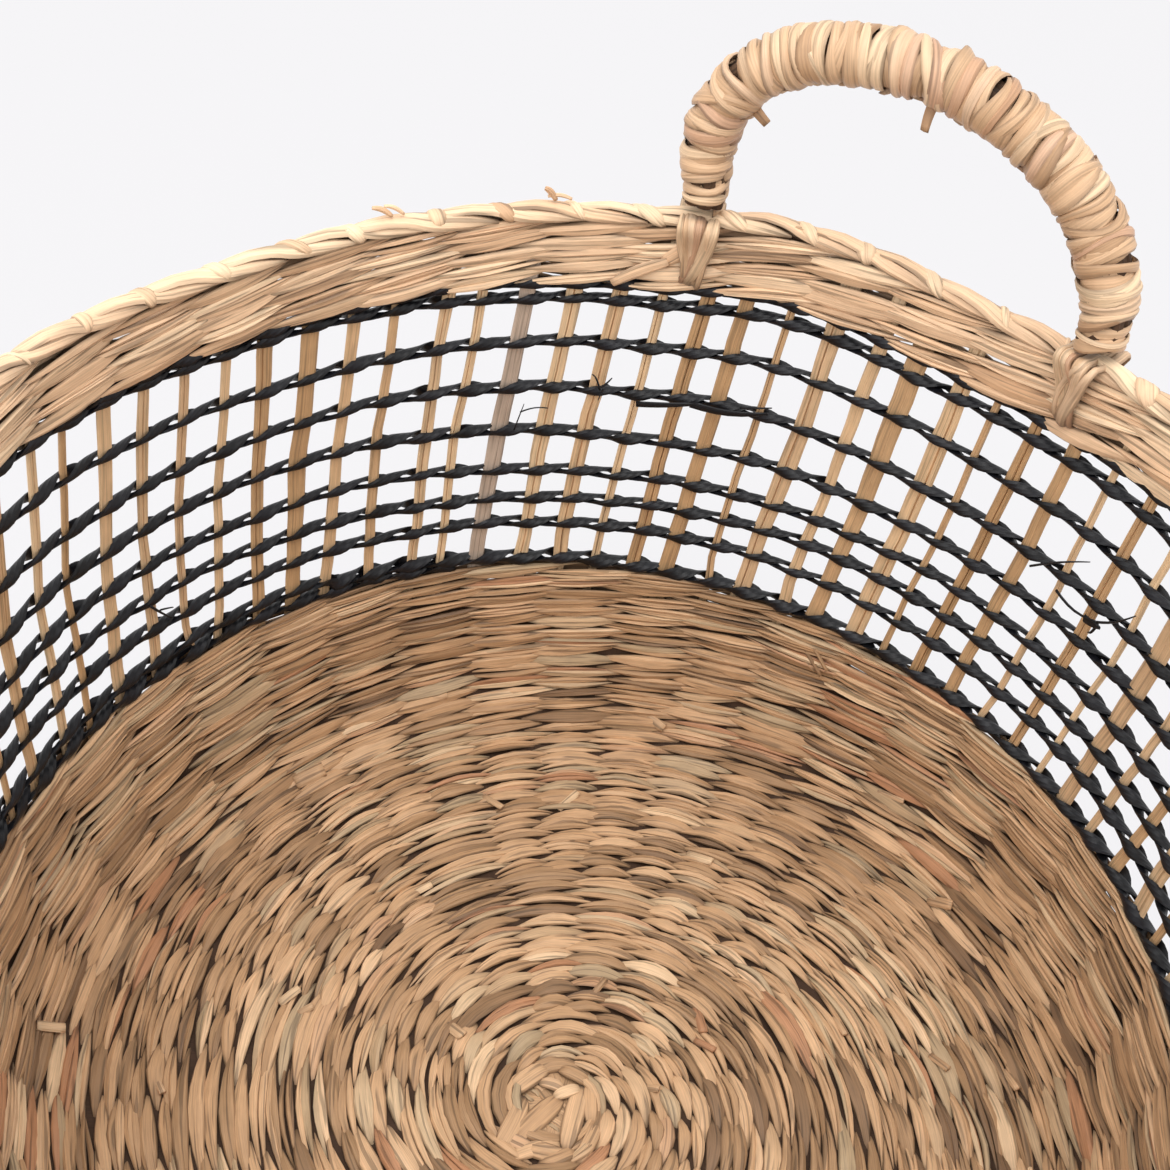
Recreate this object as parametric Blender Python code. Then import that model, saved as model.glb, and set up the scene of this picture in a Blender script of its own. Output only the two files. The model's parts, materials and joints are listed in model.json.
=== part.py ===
"""Belly basket of twined seagrass with an open lattice wall and two wrapped handles.

Metres, +Z up. The origin is the centre of the underside. The handles stand over +Y and -Y.
From the bottom: a round floor, an upsett that curves up from it, a dense lower wall, forty
folded warps that stand up as eighty stakes, two black strands that wind nine turns on either
side of the stakes, a rim band, a border ring, and two handles that tilt in their lashings.
"""

import math

import bpy
import bmesh
from mathutils import Matrix, Vector

# Driving dimensions of the whole basket
RIM_RADIUS = 0.1715
FLOOR_INSET = 0.0335
WALL_TOP = 0.0725
BAND_BOTTOM = 0.185
BAND_HEIGHT = 0.0175
FIT_GAP = 0.0003

# Floor and lower wall
FLOOR_THICKNESS = 0.0055
WALL_THICKNESS = 0.006
FOLD_INSET = 0.0045
FOLD_HEIGHT = 0.050
CORNER_STEPS = 3
UPSETT_STEPS = 2

# Stakes: each warp is folded in half, and its two ends stand as neighbours
WARP_COUNT = 40
STAKES_PER_WARP = 2
STAKE_WIDTH = 0.0042
STAKE_THICKNESS = 0.0013
STAKE_CLEARANCE = 0.00035
BELLY_SWELL = 0.002
BULGE_HEIGHT = 0.125
STAKE_LEAN = math.radians(5.5)
BAND_COVER = 0.0024

# Black strands
STRAND_RADIUS = 0.0015
STRAND_TURNS = 9
STRAND_FLAT_TURNS = 0.75
STRAND_TURN_POINTS = 32
STRAND_SIDES = 4
STRAND_START = math.radians(177.0)
STRAND_SAG = 0.009

# Rim
BAND_THICKNESS = 0.0065
BORDER_RADIUS = 0.0039
BORDER_SIDES = 6
ROUND_STEPS = 80

# Handles: each foot stands this many stake spaces from the handle's middle
FOOT_STAKE_SPACES = 4.5
HANDLE_RISE = 0.0488
HANDLE_BULGE = 0.0023
HANDLE_SWAY = 0.011
HANDLE_A_LEAN = math.radians(10.0)
HANDLE_B_LEAN = math.radians(50.0)
CORE_RADIUS = 0.0057
CORE_SIDES = 8
CORE_STEPS = 16
FOOT_RADIUS = 0.009
FOOT_TIP_RADIUS = 0.003
FOOT_LEVEL_SHARES = (1.0, 0.7, 0.0)
WRAP_THICKNESS = 0.0024
WRAP_WIDTH = 0.0054
WRAP_LOOPS = 16
WRAP_LOOP_POINTS = 9
WRAP_START = 0.009
WRAP_GAP_LEAST = 0.0004
WRAP_SECTION_SHARES = (
    (-0.5, 0.0),
    (-0.25, 0.5),
    (0.25, 0.5),
    (0.5, 0.0),
    (0.25, -0.5),
    (-0.25, -0.5),
)

# Lashings that tie the handles' feet to the rim
LASHING_WIDTH = 0.006
LASHING_THICKNESS = 0.0022
LASHING_SADDLE = 0.0015
LASHING_CLEARANCE = 0.00035
LASHING_DROP = 0.0125
SOCKET_CLEARANCE = 0.0005
SOCKET_SEGMENTS = 16
SOCKET_RINGS = 10
CUT_OVERRUN = 0.004

# Places that follow from the sizes
FLOOR_RADIUS = RIM_RADIUS - FLOOR_INSET
FOLD_RADIUS = RIM_RADIUS - FOLD_INSET
BULGE_RADIUS = RIM_RADIUS + BELLY_SWELL
STAKE_COUNT = WARP_COUNT * STAKES_PER_WARP
STAKE_STEP = 2 * math.pi / STAKE_COUNT
WARP_START = math.pi / 2 + STAKE_STEP / 2
FOOT_ANGLE = FOOT_STAKE_SPACES * STAKE_STEP
BAND_TOP = BAND_BOTTOM + BAND_HEIGHT
STAKE_TOP = BAND_TOP - BAND_COVER
BORDER_REACH = BORDER_RADIUS / math.cos(math.pi / BORDER_SIDES)
BORDER_HEIGHT = BAND_TOP + FIT_GAP + BORDER_RADIUS
BORDER_TOP = BORDER_HEIGHT + BORDER_RADIUS
SADDLE_BOTTOM = BORDER_TOP + FIT_GAP
SOCKET_RADIUS = FOOT_RADIUS + SOCKET_CLEARANCE
HINGE_HEIGHT = SADDLE_BOTTOM + LASHING_SADDLE + SOCKET_RADIUS
HINGE_OFFSET = RIM_RADIUS * math.cos(FOOT_ANGLE)
HANDLE_HALF_SPAN = RIM_RADIUS * math.sin(FOOT_ANGLE)


def clear_scene():
    for obj in list(bpy.data.objects):
        bpy.data.objects.remove(obj, do_unlink=True)


def make_material(name, colour, roughness):
    material = bpy.data.materials.new(name)
    material.use_nodes = True
    shader = material.node_tree.nodes["Principled BSDF"]
    shader.inputs["Base Color"].default_value = (*colour, 1.0)
    shader.inputs["Roughness"].default_value = roughness
    shader.inputs["Metallic"].default_value = 0.0
    return material


def add_object(name, mesh, material):
    if not mesh.materials:
        mesh.materials.append(material)
    obj = bpy.data.objects.new(name, mesh)
    bpy.context.scene.collection.objects.link(obj)
    return obj


def mesh_from(bm, name, smooth_angle=None):
    bmesh.ops.recalc_face_normals(bm, faces=bm.faces)
    mesh = bpy.data.meshes.new(name)
    bm.to_mesh(mesh)
    bm.free()
    if smooth_angle is not None:
        mesh.shade_smooth()
        mesh.set_sharp_from_angle(angle=smooth_angle)
    return mesh


def smooth_mesh(bm, name):
    return mesh_from(bm, name, math.radians(40.0))


def turned_mesh(name, profile, steps=ROUND_STEPS):
    """A closed (radius, height) outline turned a full circle about Z."""
    bm = bmesh.new()
    rings = []
    for step in range(steps):
        angle = 2 * math.pi * step / steps
        ring = [
            bm.verts.new((radius * math.cos(angle), radius * math.sin(angle), height))
            for radius, height in profile
        ]
        rings.append(ring)
    for step in range(steps):
        here = rings[step]
        after = rings[(step + 1) % steps]
        for i in range(len(profile)):
            j = (i + 1) % len(profile)
            bm.faces.new((here[i], after[i], after[j], here[j]))
    return smooth_mesh(bm, name)


def tube_mesh(name, rings):
    """A tube through rings of points, closed by a flat cap at each end."""
    bm = bmesh.new()
    loops = [[bm.verts.new(point) for point in ring] for ring in rings]
    for here, after in zip(loops, loops[1:]):
        for i in range(len(here)):
            j = (i + 1) % len(here)
            bm.faces.new((here[i], here[j], after[j], after[i]))
    bm.faces.new(loops[0])
    bm.faces.new(reversed(loops[-1]))
    return smooth_mesh(bm, name)


def stake_radius(height):
    """Distance from the axis of the stakes' middle surface, straight between three heights."""
    if height < BULGE_HEIGHT:
        share = (height - FOLD_HEIGHT) / (BULGE_HEIGHT - FOLD_HEIGHT)
        return FOLD_RADIUS + share * (BULGE_RADIUS - FOLD_RADIUS)
    share = (height - BULGE_HEIGHT) / (STAKE_TOP - BULGE_HEIGHT)
    return BULGE_RADIUS + share * (RIM_RADIUS - BULGE_RADIUS)


def stake_lean(height):
    """Turn about Z that a leaning stake has made by this height, counted from its top."""
    return STAKE_LEAN * (STAKE_TOP - height) / (STAKE_TOP - FOLD_HEIGHT)


def build_floor(material):
    bm = bmesh.new()
    bmesh.ops.create_cone(
        bm,
        cap_ends=True,
        cap_tris=False,
        segments=ROUND_STEPS,
        radius1=FLOOR_RADIUS,
        radius2=FLOOR_RADIUS,
        depth=FLOOR_THICKNESS,
    )
    bmesh.ops.translate(bm, verts=bm.verts, vec=(0, 0, FLOOR_THICKNESS / 2))
    return add_object("floor_disc", smooth_mesh(bm, "floor_disc"), material)


def corner_outlines():
    """Outer and inner (radius, height) points of the curve from the floor's edge to the wall."""
    half = WALL_THICKNESS / 2
    inner_foot = FLOOR_RADIUS + FIT_GAP
    outer, inner = [], []
    for step in range(CORNER_STEPS + 1):
        angle = math.pi / 2 * step / CORNER_STEPS
        sine, cosine = math.sin(angle), math.cos(angle)
        outer_reach = FOLD_RADIUS + half - inner_foot
        inner_reach = FOLD_RADIUS - half - inner_foot
        outer.append((inner_foot + outer_reach * sine, FOLD_HEIGHT * (1 - cosine)))
        rise = FOLD_HEIGHT - WALL_THICKNESS
        inner.append((inner_foot + inner_reach * sine, FOLD_HEIGHT - rise * cosine))
    return outer, inner


def build_upsett(material):
    """The curved ring in which the weave turns up from the floor."""
    outer, inner = corner_outlines()
    seam = UPSETT_STEPS + 1
    outer, inner = outer[:seam], inner[:seam]
    for outline in (outer, inner):
        radius, height = outline.pop()
        outline.append((radius, height - FIT_GAP))
    profile = outer + list(reversed(inner))
    return add_object("upsett", turned_mesh("upsett", profile), material)


def build_lower_wall(material):
    """The dense wall above the upsett, with a slot in its top that holds the stakes."""
    half = WALL_THICKNESS / 2
    slot = STAKE_THICKNESS / 2 + STAKE_CLEARANCE
    slot_bottom = FOLD_HEIGHT - FIT_GAP
    outer, inner = corner_outlines()
    outer, inner = outer[UPSETT_STEPS:], inner[UPSETT_STEPS:]
    top, fold = stake_radius(WALL_TOP), stake_radius(slot_bottom)
    profile = outer + [
        (top + half, WALL_TOP),
        (top + slot, WALL_TOP),
        (fold + slot, slot_bottom),
        (fold - slot, slot_bottom),
        (top - slot, WALL_TOP),
        (top - half, WALL_TOP),
    ]
    profile += list(reversed(inner))
    return add_object("lower_wall", turned_mesh("lower_wall", profile), material)


def build_warps(material):
    """Flat ribbons in the shape of a U, thickened by Solidify, each turned to its own place."""
    levels = (STAKE_TOP, BULGE_HEIGHT, FOLD_HEIGHT + STAKE_WIDTH, FOLD_HEIGHT)
    bm = bmesh.new()

    def vertex(across, height):
        radius = stake_radius(height)
        angle = across / radius + stake_lean(height)
        return bm.verts.new((radius * math.cos(angle), radius * math.sin(angle), height))

    sides = []
    for side in (-1, 1):
        edges = []
        for height in levels:
            middle = side * STAKE_STEP / 2 * stake_radius(height)
            edges.append(
                (vertex(middle - STAKE_WIDTH / 2, height), vertex(middle + STAKE_WIDTH / 2, height))
            )
        for above, below in zip(edges, edges[1:]):
            bm.faces.new((above[0], below[0], below[1], above[1]))
        sides.append(edges)
    low, high = sides
    bm.faces.new((low[-2][1], low[-1][1], high[-1][0], high[-2][0]))
    mesh = mesh_from(bm, "warp_ribbon")
    for number in range(WARP_COUNT):
        warp = add_object(f"warp_{number + 1:02d}", mesh, material)
        warp.rotation_euler.z = WARP_START + number * STAKE_STEP * STAKES_PER_WARP
        solidify = warp.modifiers.new("thickness", "SOLIDIFY")
        solidify.thickness = STAKE_THICKNESS
        solidify.offset = 0.0


def strand_height(turn):
    """The strand starts flat on the wall, climbs, sags half way up, and ends flat under the band."""
    low = WALL_TOP + FIT_GAP + STRAND_RADIUS
    high = BAND_BOTTOM - FIT_GAP - STRAND_RADIUS
    climb_turns = STRAND_TURNS - 2 * STRAND_FLAT_TURNS
    share = min(1.0, max(0.0, (turn - STRAND_FLAT_TURNS) / climb_turns))
    return low + share * (high - low) - STRAND_SAG * math.sin(math.pi * share) ** 2


def strand_gap(points):
    """Least clear space between neighbouring turns of a strand, measured on its points."""
    gaps = [
        (points[i + STRAND_TURN_POINTS] - points[i]).length - 2 * STRAND_RADIUS
        for i in range(len(points) - STRAND_TURN_POINTS)
    ]
    return min(gaps)


def build_strand(name, side, material):
    """One long tube wound round the stakes, outside them for side 1 and inside them for side -1."""
    sagitta = BULGE_RADIUS * (1 - math.cos(math.pi / STRAND_TURN_POINTS))
    reach = STAKE_THICKNESS / 2 + FIT_GAP + STRAND_RADIUS
    if side > 0:
        reach += sagitta
    rings, points = [], []
    for step in range(STRAND_TURNS * STRAND_TURN_POINTS + 1):
        turn = step / STRAND_TURN_POINTS
        height = strand_height(turn)
        angle = STRAND_START + 2 * math.pi * turn
        radius = stake_radius(height) + side * reach
        outward = Vector((math.cos(angle), math.sin(angle), 0.0))
        centre = outward * radius + Vector((0.0, 0.0, height))
        ring = []
        for corner in range(STRAND_SIDES):
            turned = 2 * math.pi * corner / STRAND_SIDES
            offset = outward * math.cos(turned) * side + Vector((0, 0, math.sin(turned)))
            ring.append(centre + offset * STRAND_RADIUS)
        rings.append(ring)
        points.append(centre)
    print(f"{name}: least gap between turns {strand_gap(points) * 1000:.2f} mm")
    return add_object(name, tube_mesh(name, rings), material)


def foot_places():
    """(azimuth, ends) of the four handle feet: the handle's letter and the foot's number."""
    places = []
    for letter, middle in (("a", math.pi / 2), ("b", -math.pi / 2)):
        for number, side in ((1, -1), (2, 1)):
            places.append((letter, number, middle + side * FOOT_ANGLE))
    return places


def foot_matrix(azimuth):
    """Local X points outwards, Y along the rim, and the origin is the foot's centre."""
    centre = Vector((RIM_RADIUS * math.cos(azimuth), RIM_RADIUS * math.sin(azimuth), HINGE_HEIGHT))
    return Matrix.Translation(centre) @ Matrix.Rotation(azimuth, 4, "Z")


def add_cutter(name, mesh, target):
    cutter = bpy.data.objects.new(name, mesh)
    bpy.context.scene.collection.objects.link(cutter)
    cutter.hide_render = True
    cutter.display_type = "WIRE"
    boolean = target.modifiers.new(name, "BOOLEAN")
    boolean.operation = "DIFFERENCE"
    boolean.object = cutter
    return cutter


def build_rim_band(material):
    half = BAND_THICKNESS / 2
    slot = STAKE_THICKNESS / 2 + STAKE_CLEARANCE
    slot_top = STAKE_TOP + FIT_GAP
    low, high = stake_radius(BAND_BOTTOM), stake_radius(STAKE_TOP)
    profile = [
        (low + slot, BAND_BOTTOM),
        (low + half, BAND_BOTTOM),
        (high + half, BAND_TOP),
        (high - half, BAND_TOP),
        (low - half, BAND_BOTTOM),
        (low - slot, BAND_BOTTOM),
        (high - slot, slot_top),
        (high + slot, slot_top),
    ]
    band = add_object("rim_band", turned_mesh("rim_band", profile), material)
    bm = bmesh.new()
    bmesh.ops.create_cube(bm, size=1.0)
    size = Vector(
        (
            BAND_THICKNESS + 2 * CUT_OVERRUN,
            LASHING_WIDTH + 2 * LASHING_CLEARANCE,
            LASHING_THICKNESS + 2 * LASHING_CLEARANCE,
        )
    )
    bmesh.ops.scale(bm, vec=size, verts=bm.verts)
    mesh = mesh_from(bm, "lashing_slot")
    middle = BAND_TOP - LASHING_DROP
    for letter, number, azimuth in foot_places():
        cutter = add_cutter(f"slot_{letter}{number}", mesh, band)
        down = Matrix.Translation((0, 0, middle - HINGE_HEIGHT))
        cutter.matrix_world = foot_matrix(azimuth) @ down
    return band


def build_border(material):
    """A rolled edge, drawn as a ring whose flat top and bottom lie level."""
    profile = []
    for corner in range(BORDER_SIDES):
        angle = 2 * math.pi * corner / BORDER_SIDES
        across = BORDER_REACH * math.cos(angle)
        profile.append((RIM_RADIUS + across, BORDER_HEIGHT + BORDER_REACH * math.sin(angle)))
    return add_object("rim_border", turned_mesh("rim_border", profile), material)


def build_lashing(name, azimuth, material):
    """A strap sewn round the border and through the band, with a seat for the handle's foot."""
    hole_half = max(BORDER_REACH, BAND_THICKNESS / 2) + LASHING_CLEARANCE
    strap_half = hole_half + LASHING_THICKNESS
    bar_middle = BAND_TOP - LASHING_DROP - HINGE_HEIGHT
    bar_top = bar_middle + LASHING_THICKNESS / 2
    bar_bottom = bar_middle - LASHING_THICKNESS / 2
    saddle_bottom = SADDLE_BOTTOM - HINGE_HEIGHT
    saddle_top = -math.sqrt(SOCKET_RADIUS**2 - strap_half**2)
    outer = [
        (-strap_half, bar_bottom),
        (strap_half, bar_bottom),
        (strap_half, saddle_top),
        (-strap_half, saddle_top),
    ]
    hole = [
        (-hole_half, bar_top),
        (hole_half, bar_top),
        (hole_half, saddle_bottom),
        (-hole_half, saddle_bottom),
    ]
    bm = bmesh.new()
    half = LASHING_WIDTH / 2
    loops = []
    for outline in (outer, hole):
        for side in (-half, half):
            loops.append([bm.verts.new((x, side, z)) for x, z in outline])
    outer_near, outer_far, hole_near, hole_far = loops
    for i in range(len(outer)):
        j = (i + 1) % len(outer)
        bm.faces.new((outer_near[i], outer_near[j], outer_far[j], outer_far[i]))
        bm.faces.new((hole_near[j], hole_near[i], hole_far[i], hole_far[j]))
        bm.faces.new((outer_near[j], outer_near[i], hole_near[i], hole_near[j]))
        bm.faces.new((outer_far[i], outer_far[j], hole_far[j], hole_far[i]))
    lashing = add_object(name, mesh_from(bm, name), material)
    lashing.matrix_world = foot_matrix(azimuth)
    ball = bmesh.new()
    bmesh.ops.create_uvsphere(
        ball, u_segments=SOCKET_SEGMENTS, v_segments=SOCKET_RINGS, radius=SOCKET_RADIUS
    )
    cutter = add_cutter(f"socket_{name}", mesh_from(ball, f"socket_{name}"), lashing)
    cutter.matrix_world = foot_matrix(azimuth)
    return lashing


def arch_point(angle):
    """A half ellipse that bulges beyond its feet and sways along the rim."""
    bulge = HANDLE_BULGE * math.sin(2 * angle) - HANDLE_SWAY * math.sin(angle)
    return Vector(
        (HANDLE_HALF_SPAN * math.cos(angle) + bulge, 0.0, HANDLE_RISE * math.sin(angle))
    )


def arch_frame(angle):
    """Direction along the arch, and the direction in its plane away from its middle."""
    bulge = 2 * HANDLE_BULGE * math.cos(2 * angle) - HANDLE_SWAY * math.cos(angle)
    along = Vector(
        (bulge - HANDLE_HALF_SPAN * math.sin(angle), 0.0, HANDLE_RISE * math.cos(angle))
    ).normalized()
    return along, Vector((along.z, 0.0, -along.x))


def arch_angle_at(height):
    return math.asin(height / HANDLE_RISE)


def core_mesh():
    """The arch with a round foot at each end, centred on the hinge line."""
    foot = []
    tip = -math.sqrt(FOOT_RADIUS**2 - FOOT_TIP_RADIUS**2)
    for share in FOOT_LEVEL_SHARES:
        height = tip * share
        foot.append((height, math.sqrt(FOOT_RADIUS**2 - height**2)))
    shoulder = math.sqrt(FOOT_RADIUS**2 - CORE_RADIUS**2)
    start = arch_angle_at(shoulder)
    level = Vector((1.0, 0.0, 0.0))
    stations = []
    for height, radius in foot:
        stations.append((Vector((HANDLE_HALF_SPAN, 0.0, height)), level, radius))
    for step in range(CORE_STEPS + 1):
        angle = start + (math.pi - 2 * start) * step / CORE_STEPS
        _, outward = arch_frame(angle)
        stations.append((arch_point(angle), outward, CORE_RADIUS))
    for height, radius in reversed(foot):
        stations.append((Vector((-HANDLE_HALF_SPAN, 0.0, height)), -level, radius))
    rings = []
    for centre, outward, radius in stations:
        ring = []
        for corner in range(CORE_SIDES):
            turned = 2 * math.pi * corner / CORE_SIDES
            offset = outward * math.cos(turned) + Vector((0, math.sin(turned), 0))
            ring.append(centre + offset * radius)
        rings.append(ring)
    return tube_mesh("handle_core", rings)


def wrap_mesh():
    """A flat strip wound round the core in one unbroken helix."""
    middle = CORE_RADIUS + FIT_GAP + WRAP_THICKNESS / 2
    middle /= math.cos(math.pi / WRAP_LOOP_POINTS)
    start = arch_angle_at(WRAP_START)
    count = WRAP_LOOPS * WRAP_LOOP_POINTS
    section = [(u * WRAP_WIDTH, v * WRAP_THICKNESS) for u, v in WRAP_SECTION_SHARES]
    rings, centres = [], []
    for step in range(count + 1):
        angle = start + (math.pi - 2 * start) * step / count
        turned = 2 * math.pi * step / WRAP_LOOP_POINTS
        along, outward = arch_frame(angle)
        away = outward * math.cos(turned) + Vector((0, math.sin(turned), 0))
        centre = arch_point(angle) + away * middle
        rings.append([centre + along * u + away * v for u, v in section])
        centres.append(centre)
    gap = min(
        (centres[i + WRAP_LOOP_POINTS] - centres[i]).length - WRAP_WIDTH
        for i in range(count + 1 - WRAP_LOOP_POINTS)
    )
    print(f"handle wrap: least gap between turns {gap * 1000:.2f} mm")
    if gap < WRAP_GAP_LEAST:
        print("handle wrap: the turns are too close")
    return tube_mesh("handle_wrap", rings)


def build_handles(core_material, wrap_material):
    core, wrap = core_mesh(), wrap_mesh()
    places = (
        ("a", 0.0, HINGE_OFFSET, HANDLE_A_LEAN),
        ("b", math.pi, -HINGE_OFFSET, HANDLE_B_LEAN),
    )
    for letter, turned, offset, lean in places:
        hinge = bpy.data.objects.new(f"handle_{letter}_hinge", None)
        bpy.context.scene.collection.objects.link(hinge)
        hinge.location = (0.0, offset, HINGE_HEIGHT)
        hinge.rotation_euler = (-lean, 0.0, turned)
        pieces = (
            (f"handle_{letter}_core", core, core_material),
            (f"handle_{letter}_wrap", wrap, wrap_material),
        )
        for name, mesh, material in pieces:
            add_object(name, mesh, material).parent = hinge


def build_basket():
    clear_scene()
    weave = make_material("seagrass_weave", (0.42, 0.27, 0.14), 0.75)
    stake = make_material("warp_stem", (0.62, 0.38, 0.17), 0.55)
    black = make_material("black_strand", (0.012, 0.012, 0.014), 0.5)
    leaf = make_material("handle_leaf", (0.60, 0.40, 0.22), 0.6)
    core = make_material("handle_core", (0.35, 0.24, 0.13), 0.8)
    build_floor(weave)
    build_upsett(weave)
    build_lower_wall(weave)
    build_warps(stake)
    build_strand("black_strand_outer", 1, black)
    build_strand("black_strand_inner", -1, black)
    build_rim_band(weave)
    build_border(weave)
    for letter, number, azimuth in foot_places():
        build_lashing(f"lashing_{letter}{number}", azimuth, leaf)
    build_handles(core, leaf)


build_basket()
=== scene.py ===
# %% [markdown]
# A belly basket is twined from dried seagrass. A round floor grows from a crossing of leaves in
# its middle, the same rows climb a low wall, and then the rows stop: bare reed stakes stand up
# as a lattice that only thin black rows hold. A dense band, a bound border and two wrapped
# handles finish it. This lesson gives each of those pieces its leaves, one strip at a time.

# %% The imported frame
import json
import math

import bpy
import numpy as np
from mathutils import Matrix, Vector


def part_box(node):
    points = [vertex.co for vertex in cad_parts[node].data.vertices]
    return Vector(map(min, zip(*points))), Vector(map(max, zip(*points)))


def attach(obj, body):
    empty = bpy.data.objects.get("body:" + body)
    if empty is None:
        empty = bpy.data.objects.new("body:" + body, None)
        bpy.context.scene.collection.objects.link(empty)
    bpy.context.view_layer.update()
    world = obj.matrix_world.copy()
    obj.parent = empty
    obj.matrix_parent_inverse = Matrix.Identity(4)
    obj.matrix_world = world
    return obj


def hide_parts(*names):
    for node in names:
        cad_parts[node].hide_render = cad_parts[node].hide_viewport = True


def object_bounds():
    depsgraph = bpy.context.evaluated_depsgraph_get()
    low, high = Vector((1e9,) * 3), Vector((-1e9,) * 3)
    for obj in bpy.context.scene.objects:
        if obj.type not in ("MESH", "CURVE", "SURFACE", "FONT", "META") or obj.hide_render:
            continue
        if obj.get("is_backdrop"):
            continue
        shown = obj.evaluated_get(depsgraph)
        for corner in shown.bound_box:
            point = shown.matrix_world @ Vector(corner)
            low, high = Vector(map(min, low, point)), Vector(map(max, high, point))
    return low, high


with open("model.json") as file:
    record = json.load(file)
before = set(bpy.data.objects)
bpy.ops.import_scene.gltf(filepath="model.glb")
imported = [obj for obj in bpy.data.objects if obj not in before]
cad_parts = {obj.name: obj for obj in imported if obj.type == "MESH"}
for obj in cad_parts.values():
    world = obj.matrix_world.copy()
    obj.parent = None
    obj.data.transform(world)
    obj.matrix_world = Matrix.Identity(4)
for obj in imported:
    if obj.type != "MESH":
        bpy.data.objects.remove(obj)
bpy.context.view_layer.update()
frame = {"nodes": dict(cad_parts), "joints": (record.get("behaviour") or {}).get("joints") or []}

MM = 0.001

# %% [markdown]
# The camera comes first, because some loose ends are placed where the photograph shows them.
# It stands over the front of the rim and looks down into the basket. Its focal length is given
# in pixels of the square photograph, and a 36 mm sensor turns that into millimetres.

# %% Camera
PHOTO_PIXELS = 1170
FOCAL_PIXELS = 1664
SENSOR_MM = 36
CAMERA_REACH = 260.1 * MM
CAMERA_HEIGHT = 463.0 * MM
CAMERA_AZIMUTH = math.radians(-66.83)
CAMERA_TURN = math.radians(-1.81)
CAMERA_DIP = math.radians(43.14)
CAMERA_ROLL = math.radians(6.3)


def make_camera():
    heading = CAMERA_AZIMUTH + math.pi - CAMERA_TURN
    level = math.cos(CAMERA_DIP)
    forward = Vector((math.cos(heading) * level, math.sin(heading) * level, -math.sin(CAMERA_DIP)))
    flat_right = Vector((math.sin(heading), -math.cos(heading), 0))
    flat_up = flat_right.cross(forward)
    right = flat_right * math.cos(CAMERA_ROLL) + flat_up * math.sin(CAMERA_ROLL)
    up = flat_up * math.cos(CAMERA_ROLL) - flat_right * math.sin(CAMERA_ROLL)
    place = Vector(
        (
            CAMERA_REACH * math.cos(CAMERA_AZIMUTH),
            CAMERA_REACH * math.sin(CAMERA_AZIMUTH),
            CAMERA_HEIGHT,
        )
    )
    camera = bpy.data.objects.new("camera", bpy.data.cameras.new("camera"))
    bpy.context.scene.collection.objects.link(camera)
    camera.matrix_world = Matrix.Translation(place) @ Matrix((right, up, -forward)).transposed().to_4x4()
    camera.data.sensor_width = SENSOR_MM
    camera.data.lens = FOCAL_PIXELS / PHOTO_PIXELS * SENSOR_MM
    camera.data.clip_start = 10 * MM
    bpy.context.scene.camera = camera
    print("camera lens in mm:", round(camera.data.lens, 1))
    return place, forward, right, up


eye, eye_forward, eye_right, eye_up = make_camera()


def sight(x, y):
    """Direction from the camera through a point of the photograph, in pixels from its top left."""
    half = PHOTO_PIXELS / 2
    return eye_forward + eye_right * ((x - half) / FOCAL_PIXELS) + eye_up * ((half - y) / FOCAL_PIXELS)


# %% [markdown]
# The weave follows the basket's own outline, so the outline is worked out once, as a path from
# the middle of the floor to the top of the dense wall. Its sizes are read off the frame's nodes.
# Every stitch is then placed by its distance along that path and its azimuth round the basket.

# %% Outline of the basket
floor_low, floor_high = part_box("floor_disc")
wall_low, wall_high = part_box("lower_wall")
band_low, band_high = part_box("rim_band")
border_low, border_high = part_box("rim_border")
FLOOR_RADIUS = floor_high.x
FLOOR_MIDDLE = (floor_low.z + floor_high.z) / 2
WALL_TOP = wall_high.z
CORNER_TOP = 50 * MM
CORNER_RADIUS = 167 * MM
BELLY_RADIUS = 173.5 * MM
BELLY_HEIGHT = 125 * MM
RIM_RADIUS = 171.5 * MM
BAND_BOTTOM = band_low.z
BAND_TOP = band_high.z
BORDER_MIDDLE = (border_low.z + border_high.z) / 2
STAKE_TOP = BAND_TOP - 2.4 * MM


def stake_radius(height):
    """Distance of the stakes from the axis at a height, eased through three heights."""
    heights = (CORNER_TOP, BELLY_HEIGHT, STAKE_TOP)
    return np.interp(height, heights, (CORNER_RADIUS, BELLY_RADIUS, RIM_RADIUS))


def outline_path():
    """Radius and height of the middle of the weave, from the floor's middle to the wall's top."""
    floor = [(radius, FLOOR_MIDDLE) for radius in np.linspace(0, FLOOR_RADIUS, 40)]
    corner = []
    for angle in np.linspace(0, math.pi / 2, 20)[1:]:
        radius = FLOOR_RADIUS + (CORNER_RADIUS - FLOOR_RADIUS) * math.sin(angle)
        corner.append((radius, CORNER_TOP - (CORNER_TOP - FLOOR_MIDDLE) * math.cos(angle)))
    wall = [(stake_radius(height), height) for height in np.linspace(CORNER_TOP, WALL_TOP, 8)[1:]]
    return np.array(floor + corner + wall)


def with_length(path):
    steps = np.linalg.norm(np.diff(path, axis=0), axis=1)
    slope = np.gradient(path, axis=0)
    slope /= np.linalg.norm(slope, axis=1)[:, None]
    return np.concatenate([[0], np.cumsum(steps)]), path, slope


BOWL = with_length(outline_path())
band_heights = np.linspace(BAND_BOTTOM - 1 * MM, BORDER_MIDDLE, 12)
BAND = with_length(np.array([(stake_radius(height), height) for height in band_heights]))
print("outline length in mm:", round(BOWL[0][-1] / MM))

# %% [markdown]
# A soft rim never lies level. The photograph's rim rises between the handle's feet and sags at
# the left, so heights near the rim follow a slow wave, which fades out at the dense wall.

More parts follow.
